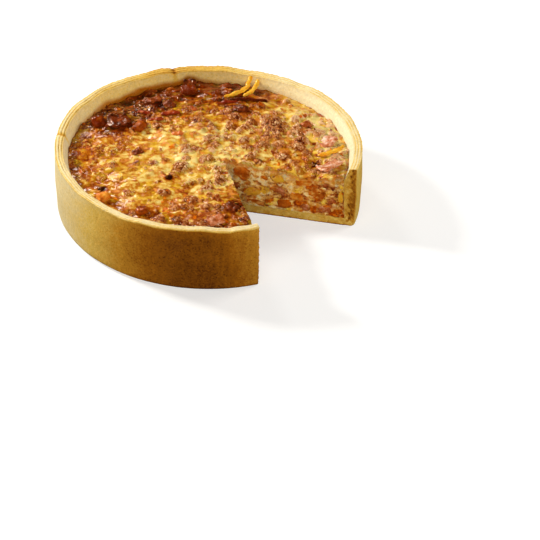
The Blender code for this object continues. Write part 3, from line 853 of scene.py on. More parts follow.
@dataclass(frozen=True)
class TartPlan:
    """The plan that the case and the filling share: the apex, the cuts and the radii."""

    apex_x: float = 10.4 * MM
    apex_y: float = -16.4 * MM
    right_cut: float = math.radians(-13.5)
    left_cut: float = math.radians(-75.0)
    out_of_round: float = 0.45 * MM
    base_thickness: float = 7.0 * MM
    waist_height: float = 41.8 * MM
    waist_radius: float = 110.6 * MM
    foot_radius: float = 113.2 * MM
    rim_inner_radius: float = 114.0 * MM
    rim_outer_radius: float = 120.3 * MM
    belly_radius: float = 121.9 * MM
    rim_height: float = 53.8 * MM
    # Where the inner wall leans out towards the rim: heights and radii
    shoulder_heights: tuple = (45.8 * MM, 50.4 * MM)
    shoulder_radii: tuple = (111.6 * MM, 113.5 * MM)

    def turns(self, count: int) -> Array:
        """The directions of count + 1 columns, from the right cut round to the left one."""
        return np.linspace(self.right_cut, self.left_cut + math.tau, count + 1)

    def cuts(self) -> tuple[tuple[float, Array], ...]:
        """Each cut's direction, and the level direction that points out of its face."""
        sides = ((self.right_cut, -1.0), (self.left_cut, 1.0))
        return tuple((turn, np.array((-math.sin(turn), math.cos(turn), 0.0)) * side) for turn, side in sides)

    def beside_cut(self, points: Array, turn: float) -> tuple[Array, Array]:
        """Measures points from a cut.

        Args:
            points: Rows of x, y and z.
            turn: The cut's direction.

        Returns:
            How far along the cut each point is from the apex, and how far off the cut.
        """
        x, y = points[:, 0] - self.apex_x, points[:, 1] - self.apex_y
        along = x * math.cos(turn) + y * math.sin(turn)
        return along, np.abs(y * math.cos(turn) - x * math.sin(turn))

    def reach(self, turn: Array, radius: Array) -> Array:
        """The distance from the apex, along a direction, to the ring of a radius.

        It solves |apex + d * direction| = radius for d, and adds the small departure
        from a true circle, two and three waves round.

        Args:
            turn: Directions in radians.
            radius: Radii about the tart's centre.

        Returns:
            The distances.
        """
        across, along = np.cos(turn), np.sin(turn)
        lean = self.apex_x * across + self.apex_y * along
        inside = lean**2 - self.apex_x**2 - self.apex_y**2 + radius**2
        distance = -lean + np.sqrt(inside)
        bearing = np.arctan2(self.apex_y + distance * along, self.apex_x + distance * across)
        wobble = np.cos(2.0 * bearing + 0.9) + 0.5 * np.cos(3.0 * bearing - 0.4)
        return distance + self.out_of_round * wobble

    def place(self, turn: Array, distance: Array) -> tuple[Array, Array]:
        """The x and y of points at a distance from the apex, along a direction."""
        return self.apex_x + distance * np.cos(turn), self.apex_y + distance * np.sin(turn)

    def inner_radius(self, height: Array) -> Array:
        """The radius of the case's inner wall at a height, along straight lines between marks."""
        heights = (self.base_thickness, self.waist_height, *self.shoulder_heights, self.rim_height)
        radii = (self.foot_radius, self.waist_radius, *self.shoulder_radii, self.rim_inner_radius)
        return np.interp(height, heights, radii)


@dataclass
class BakedTop:
    """The top of the filling: its relief and how brown, red and yellow it has baked."""

    noise: Noise
    settled: list[tuple[float, float, float]] = field(default_factory=list)
    centre_height: float = 46.0
    edge_drop: float = 4.2
    edge_radius: float = 110.6
    crusted: tuple = (78.0, 106.0)
    ripple: float = 0.32
    lump_spacing: float = 10.5
    lump_radii: tuple = (3.2, 7.0)
    bead_spacing: float = 6.2
    bead_radii: tuple = (1.5, 3.4)
    bit_spacing: float = 6.0
    bit_radii: tuple = (1.0, 3.0)
    squash_share: float = 0.4
    bubble_size: float = 3.9
    fold_size: float = 8.5
    lump_height: float = 2.7
    bead_height: float = 1.1
    fold_height: float = 1.6
    settled_height: float = 0.4
    zone_strength: float = 1.2
    blister_height: float = 1.9
    blister_brown: float = 0.26
    darkest_skin: float = 0.8
    # How far the pattern is pulled about: size in mm, octaves, distance in mm
    warp_across: tuple = ((9.0, 2, 2.2), (2.8, 1, 0.6))
    warp_along: tuple = ((8.0, 2, 2.0),)
    # Crossing waves: radians a millimetre across and along, shift, strength
    waves: tuple = (
        (0.21, 0.09, 0, 1),
        (-0.13, 0.17, 1.3, 1),
        (0.31, -0.27, 0.6, 0.7),
        (0.19, 0.37, 2.1, 0.6),
    )
    # Swellings and hollows: x, y, rise, radius
    swells: tuple = (
        (-70, 40, 2.4, 15),
        (-42, 72, 2.2, 14),
        (8, 88, 1.6, 16),
        (52, 42, 1.8, 13),
        (84, 32, 1.9, 13),
        (26, 60, 1.5, 10),
        (-12, -18, 1.7, 11),
        (-55, -45, 1.4, 16),
        (4, -88, 1.9, 13),
        (-34, 10, 1.2, 14),
        (84, -19, -2, 7),
        (78, -33, -3.6, 14),
        (50, -24, -1.9, 16),
        (104, -39, 3.4, 9),
        (-50, 20, -1.2, 13),
        (-20, -60, -1.1, 14),
        (60, 72, -1.2, 12),
        (-62, 86, -3.6, 17),
    )
    # Where the top has browned or taken the bacon's colour: x, y, radius, brown, red
    zones: tuple = (
        (-60, 72, 30, 0.57, 0.35),
        (-22, 80, 14, 0.10, 0),
        (0, 2, 12, 0.07, 0),
        (-77, 28, 13, 0.22, 0.10),
        (-77, 51, 11, 0.38, 0),
        (-50, 77, 12, 0.16, 0),
        (-50, 27, 10, -0.10, 0),
        (50, 50, 10, 0.08, 0),
        (4, 74, 15, 0.14, 0),
        (6, 24, 14, -0.08, 0),
        (-52, 2, 15, 0.17, 0),
        (-28, 24, 12, 0.05, 0),
        (76, 22, 10, -0.08, 0),
        (-25, -75, 10, -0.08, 0),
        (-26, -49, 14, 0.13, 0),
        (102, 2, 15, -0.55, 0),
        (-10, 98, 34, 0.38, 0.25),
        (30, 96, 24, 0.32, 0.25),
        (54, 82, 14, -0.08, 0.30),
        (-72, 42, 17, 0.56, 0.25),
        (-98, 0, 28, 0.21, -0.6),
        (84, 44, 15, -0.20, 0),
        (98, 22, 9, -0.25, 0.10),
        (58, 26, 30, 0.02, 0.15),
        (-10, 42, 9, 0.36, 0.10),
        (102, 44, 24, -0.12, 0.2),
        (-84, -45, 28, 0.15, -0.25),
        (-48, -80, 26, 0.14, 0.05),
        (0, -92, 26, 0.22, 0.50),
        (22, -72, 14, 0.30, 0.20),
        (26, 58, 16, 0.26, 0.20),
        (52, 34, 16, 0.02, 0.15),
        (84, 26, 20, -0.01, 0.15),
        (78, -10, 16, 0.18, 0.08),
        (98, -24, 14, -0.18, 0.35),
        (-10, 44, 18, 0.06, 0.10),
        (-8, -28, 30, -0.12, -0.2),
        (22, 6, 28, -0.05, -0.1),
        (66, 54, 12, -0.12, -0.2),
        (-20, 24, 26, -0.06, -0.2),
        (-86, 14, 12, -0.06, -0.15),
        (-106, -16, 15, -0.04, -0.25),
        (-92, -56, 12, -0.12, -0.20),
    )
    # Blisters that stand out: x, y, length, width, turn in degrees, height, brown
    blisters: tuple = (
        (-19, 2, 11.2, 10.8, 0, 1.5, 0.34),
        (-9, -0.5, 10.1, 9.8, 20, 1.5, 0.40),
        (-1.7, -14.6, 12.2, 12.5, 40, 2, 0.36),
        (-22, -27.5, 16.2, 15.1, 10, 2.1, 0.26),
        (2.5, 31.8, 10.1, 11.9, 0, 1.6, 0.30),
        (-41.6, 34.8, 12.2, 10.8, 10, 1.5, 0.30),
        (-43.5, -19.3, 10.1, 9.8, 0, 1.4, 0.30),
        (-34.5, -14.6, 7.7, 8.1, 0, 1.1, 0.30),
        (-75.2, -20.6, 9, 8.7, 30, 1.1, 0.28),
        (15.8, 31.8, 8.5, 9.1, 0, 1.4, 0.26),
        (29.5, 31.9, 9, 9.1, -20, 1.4, 0.32),
        (33.1, 39.9, 9.4, 9.8, 0, 1.5, 0.34),
        (1.3, 14.4, 16.2, 13.5, 0, 1.1, 0.30),
        (13.1, 16.8, 14.3, 10.8, 10, 1, 0.26),
        (28.2, 12.9, 12.2, 9.8, -10, 1.6, 0.36),
        (29.6, 2.2, 10.1, 9.1, 0, 1.4, 0.36),
        (43.2, 5.3, 11.3, 9.1, 10, 1.4, 0.30),
        (43.4, 66.4, 10.1, 10.8, 0, 1.5, 0.26),
        (21.2, 48, 10.1, 9.8, 0, 1.3, 0.24),
        (52.8, 31.4, 24.4, 18.9, -30, 2.3, 0.26),
        (71.9, 25.7, 10.1, 10.8, 0, 1.6, 0.30),
        (88, 24.1, 10.1, 10.8, 0, 1.6, 0.36),
        (73.6, 11.6, 14.3, 13.5, 20, 1.7, 0.32),
        (54.6, 19.4, 12.2, 10.8, 0, 1.6, 0.32),
        (47, 19.3, 8.1, 9.1, 0, 1.1, 0.24),
        (32.6, -9.9, 12.2, 10.8, 20, 1.5, 0.40),
        (39.1, -16, 10.1, 9.8, -20, 1.3, 0.44),
        (57.5, -8.4, 14.3, 9.8, 0, 1.4, 0.30),
        (6.1, -30.8, 10.1, 10.8, 30, 1.5, 0.30),
        (9.2, -42, 10.9, 10.8, 20, 1.5, 0.34),
        (-1.4, -54, 12.2, 10.2, 15, 1.4, 0.34),
        (-34.2, -59.6, 9.4, 9.8, 0, 1.3, 0.30),
    )
    # Specks that have burnt: x, y, radius, brown
    chars: tuple = (
        (-30.6, -39.6, 2.6, 1.9),
        (-81.4, -50.6, 2.4, 1.9),
        (20.5, -75, 4, 0.7),
        (41, -17, 2.4, 0.5),
        (-38, 66, 4, 0.45),
        (82.5, -15.5, 3.6, 0.6),
        (46, 76.5, 2.4, 0.5),
        (-56, -17, 2.6, 0.4),
        (-48, 25, 2.4, 0.35),
    )
    # Places with a look of their own: x, y, radius
    calm: tuple = (-90.0, -24.0, 46.0)
    dull: tuple = (-97.0, -4.0, 27.0)
    crowded: tuple = (58.0, 28.0, 38.0)
    sparse: tuple = (-75.0, -45.0, 42.0)
    curl: tuple = (-73.0, 39.0, 13.0)
    pool: tuple = (93.0, 38.0, 17.0)
    bare_edge: tuple = (100.0, 40.0, 52.0)

    def crowd(self, x: Array, y: Array) -> Array:
        """The share of the sites that have a blister: in drifts, most at the back right."""
        drifts = 0.42 + 0.8 * self.noise.smooth(points_at(x, y, 31.0), 19.0) + 0.5 * hill(x, y, *self.crowded)
        return drifts + 0.15 * ease(50.0, 95.0, np.hypot(x, y)) - 0.4 * hill(x, y, *self.sparse)

    def wetness(self, x: Array, y: Array) -> Array:
        """How smooth and glossy the top is, 0 to 1: most where the juices stood at the back."""
        back = ease(56.0, 88.0, y + 0.12 * x) * ease(64.0, 92.0, np.hypot(x, y))
        return np.clip(back + 0.8 * hill(x, y, *self.curl) + 0.75 * hill(x, y, *self.pool), 0.0, 1.0)

    def bit_crowd(self, x: Array, y: Array) -> Array:
        """The share of the sites that have a small bit: few at the middle, many around."""
        drifts = 0.3 * self.noise.smooth(points_at(x, y, 77.0), 24.0)
        return drifts + 0.02 + 0.30 * ease(45.0, 90.0, np.hypot(x, y))

    def base(self, x: Array, y: Array) -> Array:
        """The solid's own top: a low dome, crossing waves, swellings and hollows.

        Args:
            x: Places across, in millimetres.
            y: Places along, in millimetres.

        Returns:
            Heights in millimetres.
        """
        height = self.centre_height - self.edge_drop * (np.hypot(x, y) / self.edge_radius) ** 3
        for across, along, shift, strength in self.waves:
            height += self.ripple * strength * np.sin(across * x + along * y + shift)
        for swell_x, swell_y, rise, radius in self.swells:
            height += rise * hill(x, y, swell_x, swell_y, radius)
        return height

    def patches(self, x: Array, y: Array, edge: Array) -> tuple[Array, Array]:
        """The skin's colour before its blisters: smooth noise plus the zones.

        Args:
            x: Places across, in millimetres.
            y: Places along, in millimetres.
            edge: How near the crusted edge a place is, from 0 to 1.

        Returns:
            How brown and how red each place is.
        """
        flat = points_at(x, y)
        brown = 0.23 + 0.14 * edge
        brown += 0.24 * self.noise.smooth(flat + 91.0, 13.0, 2) + 0.16 * self.noise.smooth(flat, 5.0, 2)
        red = 0.05 + 0.30 * self.noise.smooth(flat + 23.0, 13.0, 2)
        for zone_x, zone_y, radius, more_brown, more_red in self.zones:
            share = hill(x, y, zone_x, zone_y, radius)
            brown += self.zone_strength * more_brown * share
            red += more_red * share
        return brown, red

    def placed_blisters(self, x: Array, y: Array) -> tuple[Array, Array, Array]:
        """The blisters that stand out, each an oval dome, 1 - (2 along / length)^2 - (2 across / width)^2.

        Args:
            x: Places across, in millimetres.
            y: Places along, in millimetres.

        Returns:
            The height they add, the browning they add, and how far a place is on one.
        """
        height, brown, cluster = (np.zeros_like(x) for _ in range(3))
        for spot_x, spot_y, length, width, turn, rise, tint in self.blisters:
            lean = math.radians(turn)
            along = (x - spot_x) * math.cos(lean) + (y - spot_y) * math.sin(lean)
            across = (y - spot_y) * math.cos(lean) - (x - spot_x) * math.sin(lean)
            dome = np.clip(1.0 - (2.0 * along / length) ** 2 - (2.0 * across / width) ** 2, 0.0, 1.0)
            height += self.blister_height * rise * dome
            brown += self.blister_brown * tint * ease(0.0, 0.6, dome)
            cluster = np.maximum(cluster, ease(0.0, 0.5, dome))
        return height, brown, cluster

    def bake(self, x: Array, y: Array) -> dict[str, Array]:
        """Works out the relief and the colour values at places on the top.

        The height is the solid's top, plus domes for the blisters and their nodules, plus
        folds and creases, which are the absolute value of smooth noise. The browning
        follows the zones and rises on the blisters. It also rises in the gaps between
        bubbles and along the folds' low lines, which is painted shade, and the blisters
        redden, partly as a painted pink sheen. A number added to the places only keeps
        one noise field apart from another.

        Args:
            x: Places across, in millimetres.
            y: Places along, in millimetres.

        Returns:
            The height in millimetres, brown and red from 0 to 1, how wet and how blistered
            each place is, and how far inside a small bit of bacon or squash, from -1 to 1.
        """
        smooth, domes = self.noise.smooth, self.noise.domes
        flat = points_at(x, y)
        warped_x = x + self.noise.blend(flat, self.warp_across)
        warped_y = y + self.noise.blend(flat + 57.0, self.warp_along)
        warped = points_at(warped_x, 1.15 * warped_y)
        flow = warped * (0.62, 1.05, 1.0)
        wet = self.wetness(x, y)
        calm = hill(x, y, *self.calm)
        edge = ease(*self.crusted, np.hypot(x, y)) * (1.0 - hill(x, y, *self.bare_edge))
        crust = (1.0 - wet) * np.maximum(edge, 0.4 * ease(-0.1, 0.5, smooth(flat + 19.0, 24.0)))
        lumps, share = domes(warped_x, warped_y, self.lump_spacing, self.lump_radii, self.crowd)
        lumps = np.clip(lumps, 0.0, 1.0)
        beads = domes(warped_x - 9.0, warped_y + 23.0, self.bead_spacing, self.bead_radii, self.crowd)[0]
        beads = np.clip(beads, 0.0, 1.0)
        bits, kinds = domes(warped_x + 31.0, y - 17.0, self.bit_spacing, self.bit_radii, self.bit_crowd)
        bubbles = np.abs(smooth(warped + 5.0, self.bubble_size) + 0.2 * smooth(flat, 2.0))
        # The gaps between the bubbles, browned below as painted shade.
        crevice_shade = fall(0.0, 0.3, bubbles)
        folds = np.abs(smooth(flow + 63.0, self.fold_size, 2))
        placed_height, placed_brown, placed = self.placed_blisters(warped_x, warped_y)
        cluster = np.maximum(ease(0.0, 0.5, lumps) * (0.3 + 0.7 * share), 0.75 * ease(0.0, 0.6, beads))
        cluster = np.maximum(cluster, placed) * (1.0 - 0.75 * wet)
        mound = np.zeros_like(x)
        for spot in self.settled:
            mound = np.maximum(mound, hill(x, y, *spot))

        relief = self.lump_height * lumps * (0.4 + 0.6 * share) + self.bead_height * beads + placed_height
        bubbling = (0.2 + 1.7 * cluster + 0.8 * crust) * (1.0 - 0.6 * wet) * (1.0 - 0.75 * calm)
        relief += bubbles * bubbling - 0.4 * cluster
        relief += (self.fold_height - 0.5 * wet) * folds * (1.0 - 0.5 * calm) - 0.7
        relief += (0.6 + 0.4 * wet) * smooth(flow + 37.0, 11.0)
        relief += 0.4 * smooth(flat + 7.0, 6.0) + 0.3 * np.clip(bits, 0.0, 1.0)
        relief += (0.1 + 0.4 * crust) * smooth(warped * (0.7, 1.2, 1.0), 3.4, 2)
        relief *= (1.0 - 0.65 * mound) * (1.0 - 0.4 * calm)
        height = self.base(x, y) + relief + self.settled_height * mound

        brown, red = self.patches(x, y, edge)
        # Painted shade: the blisters and their clusters brown more in the gaps between bubbles.
        brown += placed_brown * (0.6 + 0.6 * crevice_shade) + 0.08 * mound
        brown += cluster * (0.07 + 0.24 * crevice_shade) * (1.0 - 0.5 * calm)
        brown += 0.12 * crust * smooth(flat + 3.0, 5.5, 2)
        # Painted shade: browner along the folds' low lines, where the noise crosses zero.
        brown += (0.18 * brown + 0.04) * fall(0.0, 0.3, folds)
        brown = np.minimum(brown / (1.0 + 0.2 * np.maximum(brown, 0.0)), self.darkest_skin)
        # The blisters take the meaty ramp's mauve and pink: partly their own colour, partly a painted pink
        # sheen on their tops.
        red += 0.7 * cluster * (1.0 - 0.8 * calm)
        red += 0.35 * crust * ease(0.0, 0.6, smooth(flat + 47.0, 6.5, 2))
        for spot_x, spot_y, radius, burn in self.chars:
            burnt = hill(x, y, spot_x, spot_y, radius)
            brown += burn * burnt
            bits -= 3.0 * burnt
        return {
            "height": height,
            "brown": brown,
            "red": red,
            "wet": wet - 0.7 * hill(x, y, *self.dull),
            "blister": cluster,
            "bacon": np.where(kinds > self.squash_share, bits, -1.0),
            "squash": np.where(kinds > self.squash_share, -1.0, bits),
        }


@dataclass
class CustardFilling:
    """The set custard in one closed shell: top, side, floor and both cut faces."""

    plan: TartPlan
    top: BakedTop
    noise: Noise
    shell: Shell = field(default_factory=Shell)
    rings: int = 150
    outer_columns: int = 736
    least_columns: int = 23
    rise_rows: int = 48
    side_rows: int = 5
    floor_height: float = 7.35 * MM
    wall_overlap: float = 0.35 * MM
    cut_redness: float = 0.2
    skin_depth: float = 0.01
    spread_passes: int = 10
    spread_share: float = 0.6
    hollow_limit: float = 0.6
    # How far hollows brown, juice and painted shade together, and bumps redden, their own red with a painted
    # sheen.
    hollow_juice_and_shade: float = 0.24
    bump_red_and_sheen: float = 0.5
    drag_reach: float = 2.5 * MM
    drag_pull: float = 0.08 * MM
    # The dragged surface: size in mm, octaves, height in mm
    drag_noise: tuple = ((2.6, 3, 0.6), (7.0, 1, 0.5))
    apex_reach: float = 3.0 * MM
    # Where the bits' middles lie in a cut: least and span, along and up, in mm
    bits_along: tuple = (3.0, 99.0)
    bits_up: tuple = (8.0, 30.0)
    bit_lean: float = 0.7
    # Bits in the cuts: kind, count, largest length in mm, least and most width over length
    bits: tuple = (
        ("squash", 48, 4.8, 0.35, 0.8),
        ("bacon", 56, 3.4, 0.3, 0.7),
        ("bacon", 80, 5.5, 0.10, 0.24),
        ("cheddar", 28, 4.2, 0.35, 0.8),
        ("cheddar", 26, 5.0, 0.14, 0.28),
    )
    # How far each kind of bit stands out of a cut, in mm
    proud: tuple = (("squash", 0.32), ("cheddar", 0.25), ("bacon", -0.2))

    def ring_columns(self) -> list[int]:
        """How many columns each ring has: as many as the rim, halved towards the apex."""
        halvings = [math.ceil(math.log2(self.rings / ring)) for ring in range(1, self.rings + 1)]
        return [max(self.outer_columns >> count, self.least_columns) for count in halvings]

    def wall_reach(self, turn: Array) -> Array:
        """The distance from the apex to where the filling meets the case at its waist."""
        return self.plan.reach(turn, self.plan.waist_radius + self.wall_overlap)

    def baked(self, turn: Array, share: Array) -> Baked:
        """The baked top at places on the plan.

        Args:
            turn: Directions from the apex, in radians.
            share: Shares of the way from the apex to the wall.

        Returns:
            Rows of x, y and z, and the values of the colour under their names.
        """
        x, y = self.plan.place(turn, share * self.wall_reach(turn))
        values = self.top.bake(x / MM, y / MM)
        return points_at(x, y, values.pop("height") * MM), values

    def add_top(self) -> None:
        """Adds rings about the apex, where a ring with twice the columns joins by triangles."""
        counts = self.ring_columns()
        turns = [np.array([0.0])] + [self.plan.turns(count) for count in counts]
        shares = [np.full(len(turn), ring / self.rings) for ring, turn in enumerate(turns)]
        points, values = self.baked(np.concatenate(turns), np.concatenate(shares))
        starts = np.cumsum([0] + [len(turn) for turn in turns])
        hub = np.arange(counts[0])
        faces = [np.stack((np.zeros_like(hub), starts[1] + hub, starts[1] + hub + 1), axis=1)]
        for ring in range(1, self.rings):
            inner = starts[ring] + np.arange(counts[ring - 1])
            outer = starts[ring + 1] + np.arange(counts[ring - 1])
            if counts[ring] == counts[ring - 1]:
                faces.append(np.stack((inner, outer, outer + 1, inner + 1), axis=1))
                continue
            middle = starts[ring + 1] + 2 * np.arange(counts[ring - 1])
            faces.append(np.stack((inner, middle, middle + 1), axis=1))
            faces.append(np.stack((inner, middle + 1, inner + 1), axis=1))
            faces.append(np.stack((inner + 1, middle + 1, middle + 2), axis=1))
        self.shell.add(self.dragged(points), faces, depth=0.0, cheddar=-1.0, **values)

    def curtain(self, turn: Array, share: Array, rows: int) -> Baked:
        """A grid that hangs from a line on the top down to the floor.

        Below the waist it leans out with the case's inner wall, by the share of the way.

        Args:
            turn: The line's directions from the apex, in radians.
            share: The line's shares of the way from the apex to the wall.
            rows: How many rows of faces it has.

        Returns:
            Rows of x, y and z, from the floor up, and the top's values with the depth
            below it in millimetres.
        """
        line, values = self.baked(turn, share)
        top = line[:, 2]
        rise = np.linspace(0.0, 1.0, rows + 1)[:, None]
        height = self.floor_height + (top - self.floor_height) * rise
        flare = self.plan.inner_radius(height) - self.plan.waist_radius
        lean = flare * (1.0 - rise) * (height < self.plan.waist_height) * share
        x, y = self.plan.place(turn, share * self.wall_reach(turn) + lean)
        values = {name: np.tile(value, rows + 1) for name, value in values.items()}
        values["depth"] = ((top - height) / MM).ravel()
        return points_at(x, y, height).reshape(-1, 3), values

    def side(self, rows: int) -> Baked:
        """The grid of the side that leans on the case."""
        turn = self.plan.turns(self.outer_columns)
        return self.curtain(turn, np.ones_like(turn), rows)

    def cut_face(self, turn: float, rows: int) -> Baked:
        """The grid of a cut face, from the apex out."""
        share = np.linspace(0.0, 1.0, self.rings + 1)
        return self.curtain(np.full_like(share, turn), share, rows)

    def add_side(self) -> None:
        """Adds the side."""
        points, values = self.side(self.side_rows)
        faces = [quads(self.side_rows + 1, self.outer_columns + 1)]
        self.shell.add(self.dragged(points), faces, cheddar=-1.0, **values)

    def add_faces(self) -> None:
        """Adds both cut faces, with the mixture of bits that the knife went through."""
        for turn, _ in self.plan.cuts():
            points, values = self.cut_face(turn, self.rise_rows)
            values["red"] *= self.cut_redness
            along = self.plan.beside_cut(points, turn)[0]
            mixture = self.mixture(along / MM, points[:, 2] / MM, turn)
            faces = [quads(self.rise_rows + 1, self.rings + 1)]
            self.shell.add(self.dragged(points), faces, **(values | mixture))

    def add_floor(self) -> None:
        """Adds the flat underside in one face, out along one cut, round and back."""
        right, left = (self.cut_face(turn, 1)[0][: self.rings + 1] for turn, _ in self.plan.cuts())
        around = self.side(1)[0][: self.outer_columns + 1]
        points, faces = outline(right, around, left)
        baked = dict.fromkeys(("brown", "red", "wet", "blister"), 0.3)
        no_bits = dict.fromkeys(("squash", "bacon", "cheddar"), -1.0)
        self.shell.add(self.dragged(points), faces, depth=9.0, **baked, **no_bits)

    def mixture(self, along: Array, height: Array, turn: float) -> dict[str, Array]:
        """How deep inside a bit of each kind a place on a cut is, in millimetres.

        Each kind has seeded oval bits. Inside one the value is positive, and it is about
        the distance to the bit's edge, up to 1 either way.

        Args:
            along: Distances from the apex, in millimetres.
            height: Heights, in millimetres.
            turn: The cut's direction, which seeds the draw.

        Returns:
            One array for each kind.
        """
        draw = np.random.default_rng(int(abs(turn) * 1000.0))
        flat = points_at(along, height, turn * 10.0)
        warped_along = along + 2.0 * self.noise.smooth(flat, 5.0, 4)
        warped_height = height + 1.8 * self.noise.smooth(flat + 41.0, 5.0, 4)
        nothing = np.full_like(along, -1.0)
        towards_wall = 0.5 * ease(18.0, 62.0, along)
        depths = {"squash": nothing, "bacon": nothing + towards_wall, "cheddar": nothing}
        for kind, count, largest, narrow, wide in self.bits:
            for _ in range(count):
                middle_along = self.bits_along[0] + self.bits_along[1] * draw.uniform(0.0, 1.0) ** 0.8
                middle_height = self.bits_up[0] + self.bits_up[1] * draw.uniform(0.0, 1.0) ** 1.1
                length = 1.0 + (largest - 1.0) * draw.uniform(0.0, 1.0) ** 1.6
                width = length * draw.uniform(narrow, wide)
                lean = draw.uniform(-self.bit_lean, self.bit_lean)
                right = warped_along - middle_along
                up = warped_height - middle_height
                x = right * math.cos(lean) + up * math.sin(lean)
                y = up * math.cos(lean) - right * math.sin(lean)
                depth = (1.0 - np.sqrt((x / length) ** 2 + (y / width) ** 2)) * width
                depths[kind] = np.maximum(depths[kind], depth)
        for shift, (kind, deepest) in enumerate(depths.items()):
            ragged = self.noise.smooth(flat + 17.0 * shift, 1.7, 2)
            depths[kind] = np.clip(deepest + 0.5 * ragged, -1.0, 1.0)
        return depths

    def dragged(self, points: Array) -> Array:
        """Roughens the surface near both cuts, where the knife dragged at the filling.

        Each point moves along the cut's outward direction by smooth noise, less the
        further it is from the cut, so that surfaces that share a border still meet.

        Args:
            points: Rows of x, y and z.

        Returns:
            The moved points.
        """
        moved = points.copy()
        for turn, outward in self.plan.cuts():
            along, away = self.plan.beside_cut(points, turn)
            near = fall(0.0, self.drag_reach, away) * ease(0.0, self.apex_reach, along)
            rough = self.noise.blend(points / MM, self.drag_noise)
            mixture = self.mixture(along / MM, points[:, 2] / MM, turn)
            for kind, height in self.proud:
                rough += height * ease(-0.3, 0.6, mixture[kind])
            moved += (near * (rough * MM + self.drag_pull))[:, None] * outward
        return moved

    def settle_colours(self, mesh: bpy.types.Mesh) -> None:
        """Browns the hollows of the top, juice that gathers there together with painted shade, and lightens
        and reddens its bumps, partly as a painted pink sheen.

        A place's hollowness is how far the mean height around it, spread over the mesh's
        edges pass by pass, lies above its own.

        Args:
            mesh: The filling's mesh, which holds the brown, red and depth values.
        """
        count = len(mesh.vertices)
        brown, red, depth = (
            fetch(mesh.attributes[name].data, "value", 1, np.float32).ravel()
            for name in ("brown", "red", "depth")
        )
        height = fetch(mesh.vertices, "co", 3, float)[:, 2] / MM
        edges = fetch(mesh.edges, "vertices", 2, int)
        start, end = edges[(depth[edges] < self.skin_depth).all(axis=1)].T
        neighbours = np.bincount(start, minlength=count) + np.bincount(end, minlength=count)
        spread = height.copy()
        for _ in range(self.spread_passes):
            total = np.bincount(start, spread[end], count) + np.bincount(end, spread[start], count)
            mean = total / np.maximum(neighbours, 1)
            mixed = (1.0 - self.spread_share) * spread + self.spread_share * mean
            spread = np.where(neighbours > 0, mixed, spread)
        hollow = np.clip(spread - height, -self.hollow_limit, self.hollow_limit)
        # Painted shade in the hollows along with the gathered juice; the bumps get a painted pink sheen with
        # their own red.
        carry(mesh, "brown", brown + self.hollow_juice_and_shade * hollow)
        carry(mesh, "red", red - self.bump_red_and_sheen * hollow)

    def build(self, material: bpy.types.Material) -> bpy.types.Object:
        """Makes the filling and lets it stand for the solid one.

        Args:
            material: The custard's finish.

        Returns:
            The finished piece.
        """
        self.add_top()
        self.add_side()
        self.add_faces()
        self.add_floor()
        piece = self.shell.finish("custard")
        self.settle_colours(piece.data)
        piece.data.materials.append(material)
        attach(piece, "root")
        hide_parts("custard_filling")
        return piece


@dataclass(frozen=True)
class WallPlaces:
    """Places in the case's wall, with what its browning depends on.

    The direction in radians, the way up and the way through place them. Raw is the place
    on the outer wall in millimetres, bearing is its direction from the tart's centre in
    degrees, and broad and medium are noise at two sizes.
    """

    turn: Array
    rise: Array
    thick: Array
    raw: Array
    bearing: Array
    broad: Array
    medium: Array


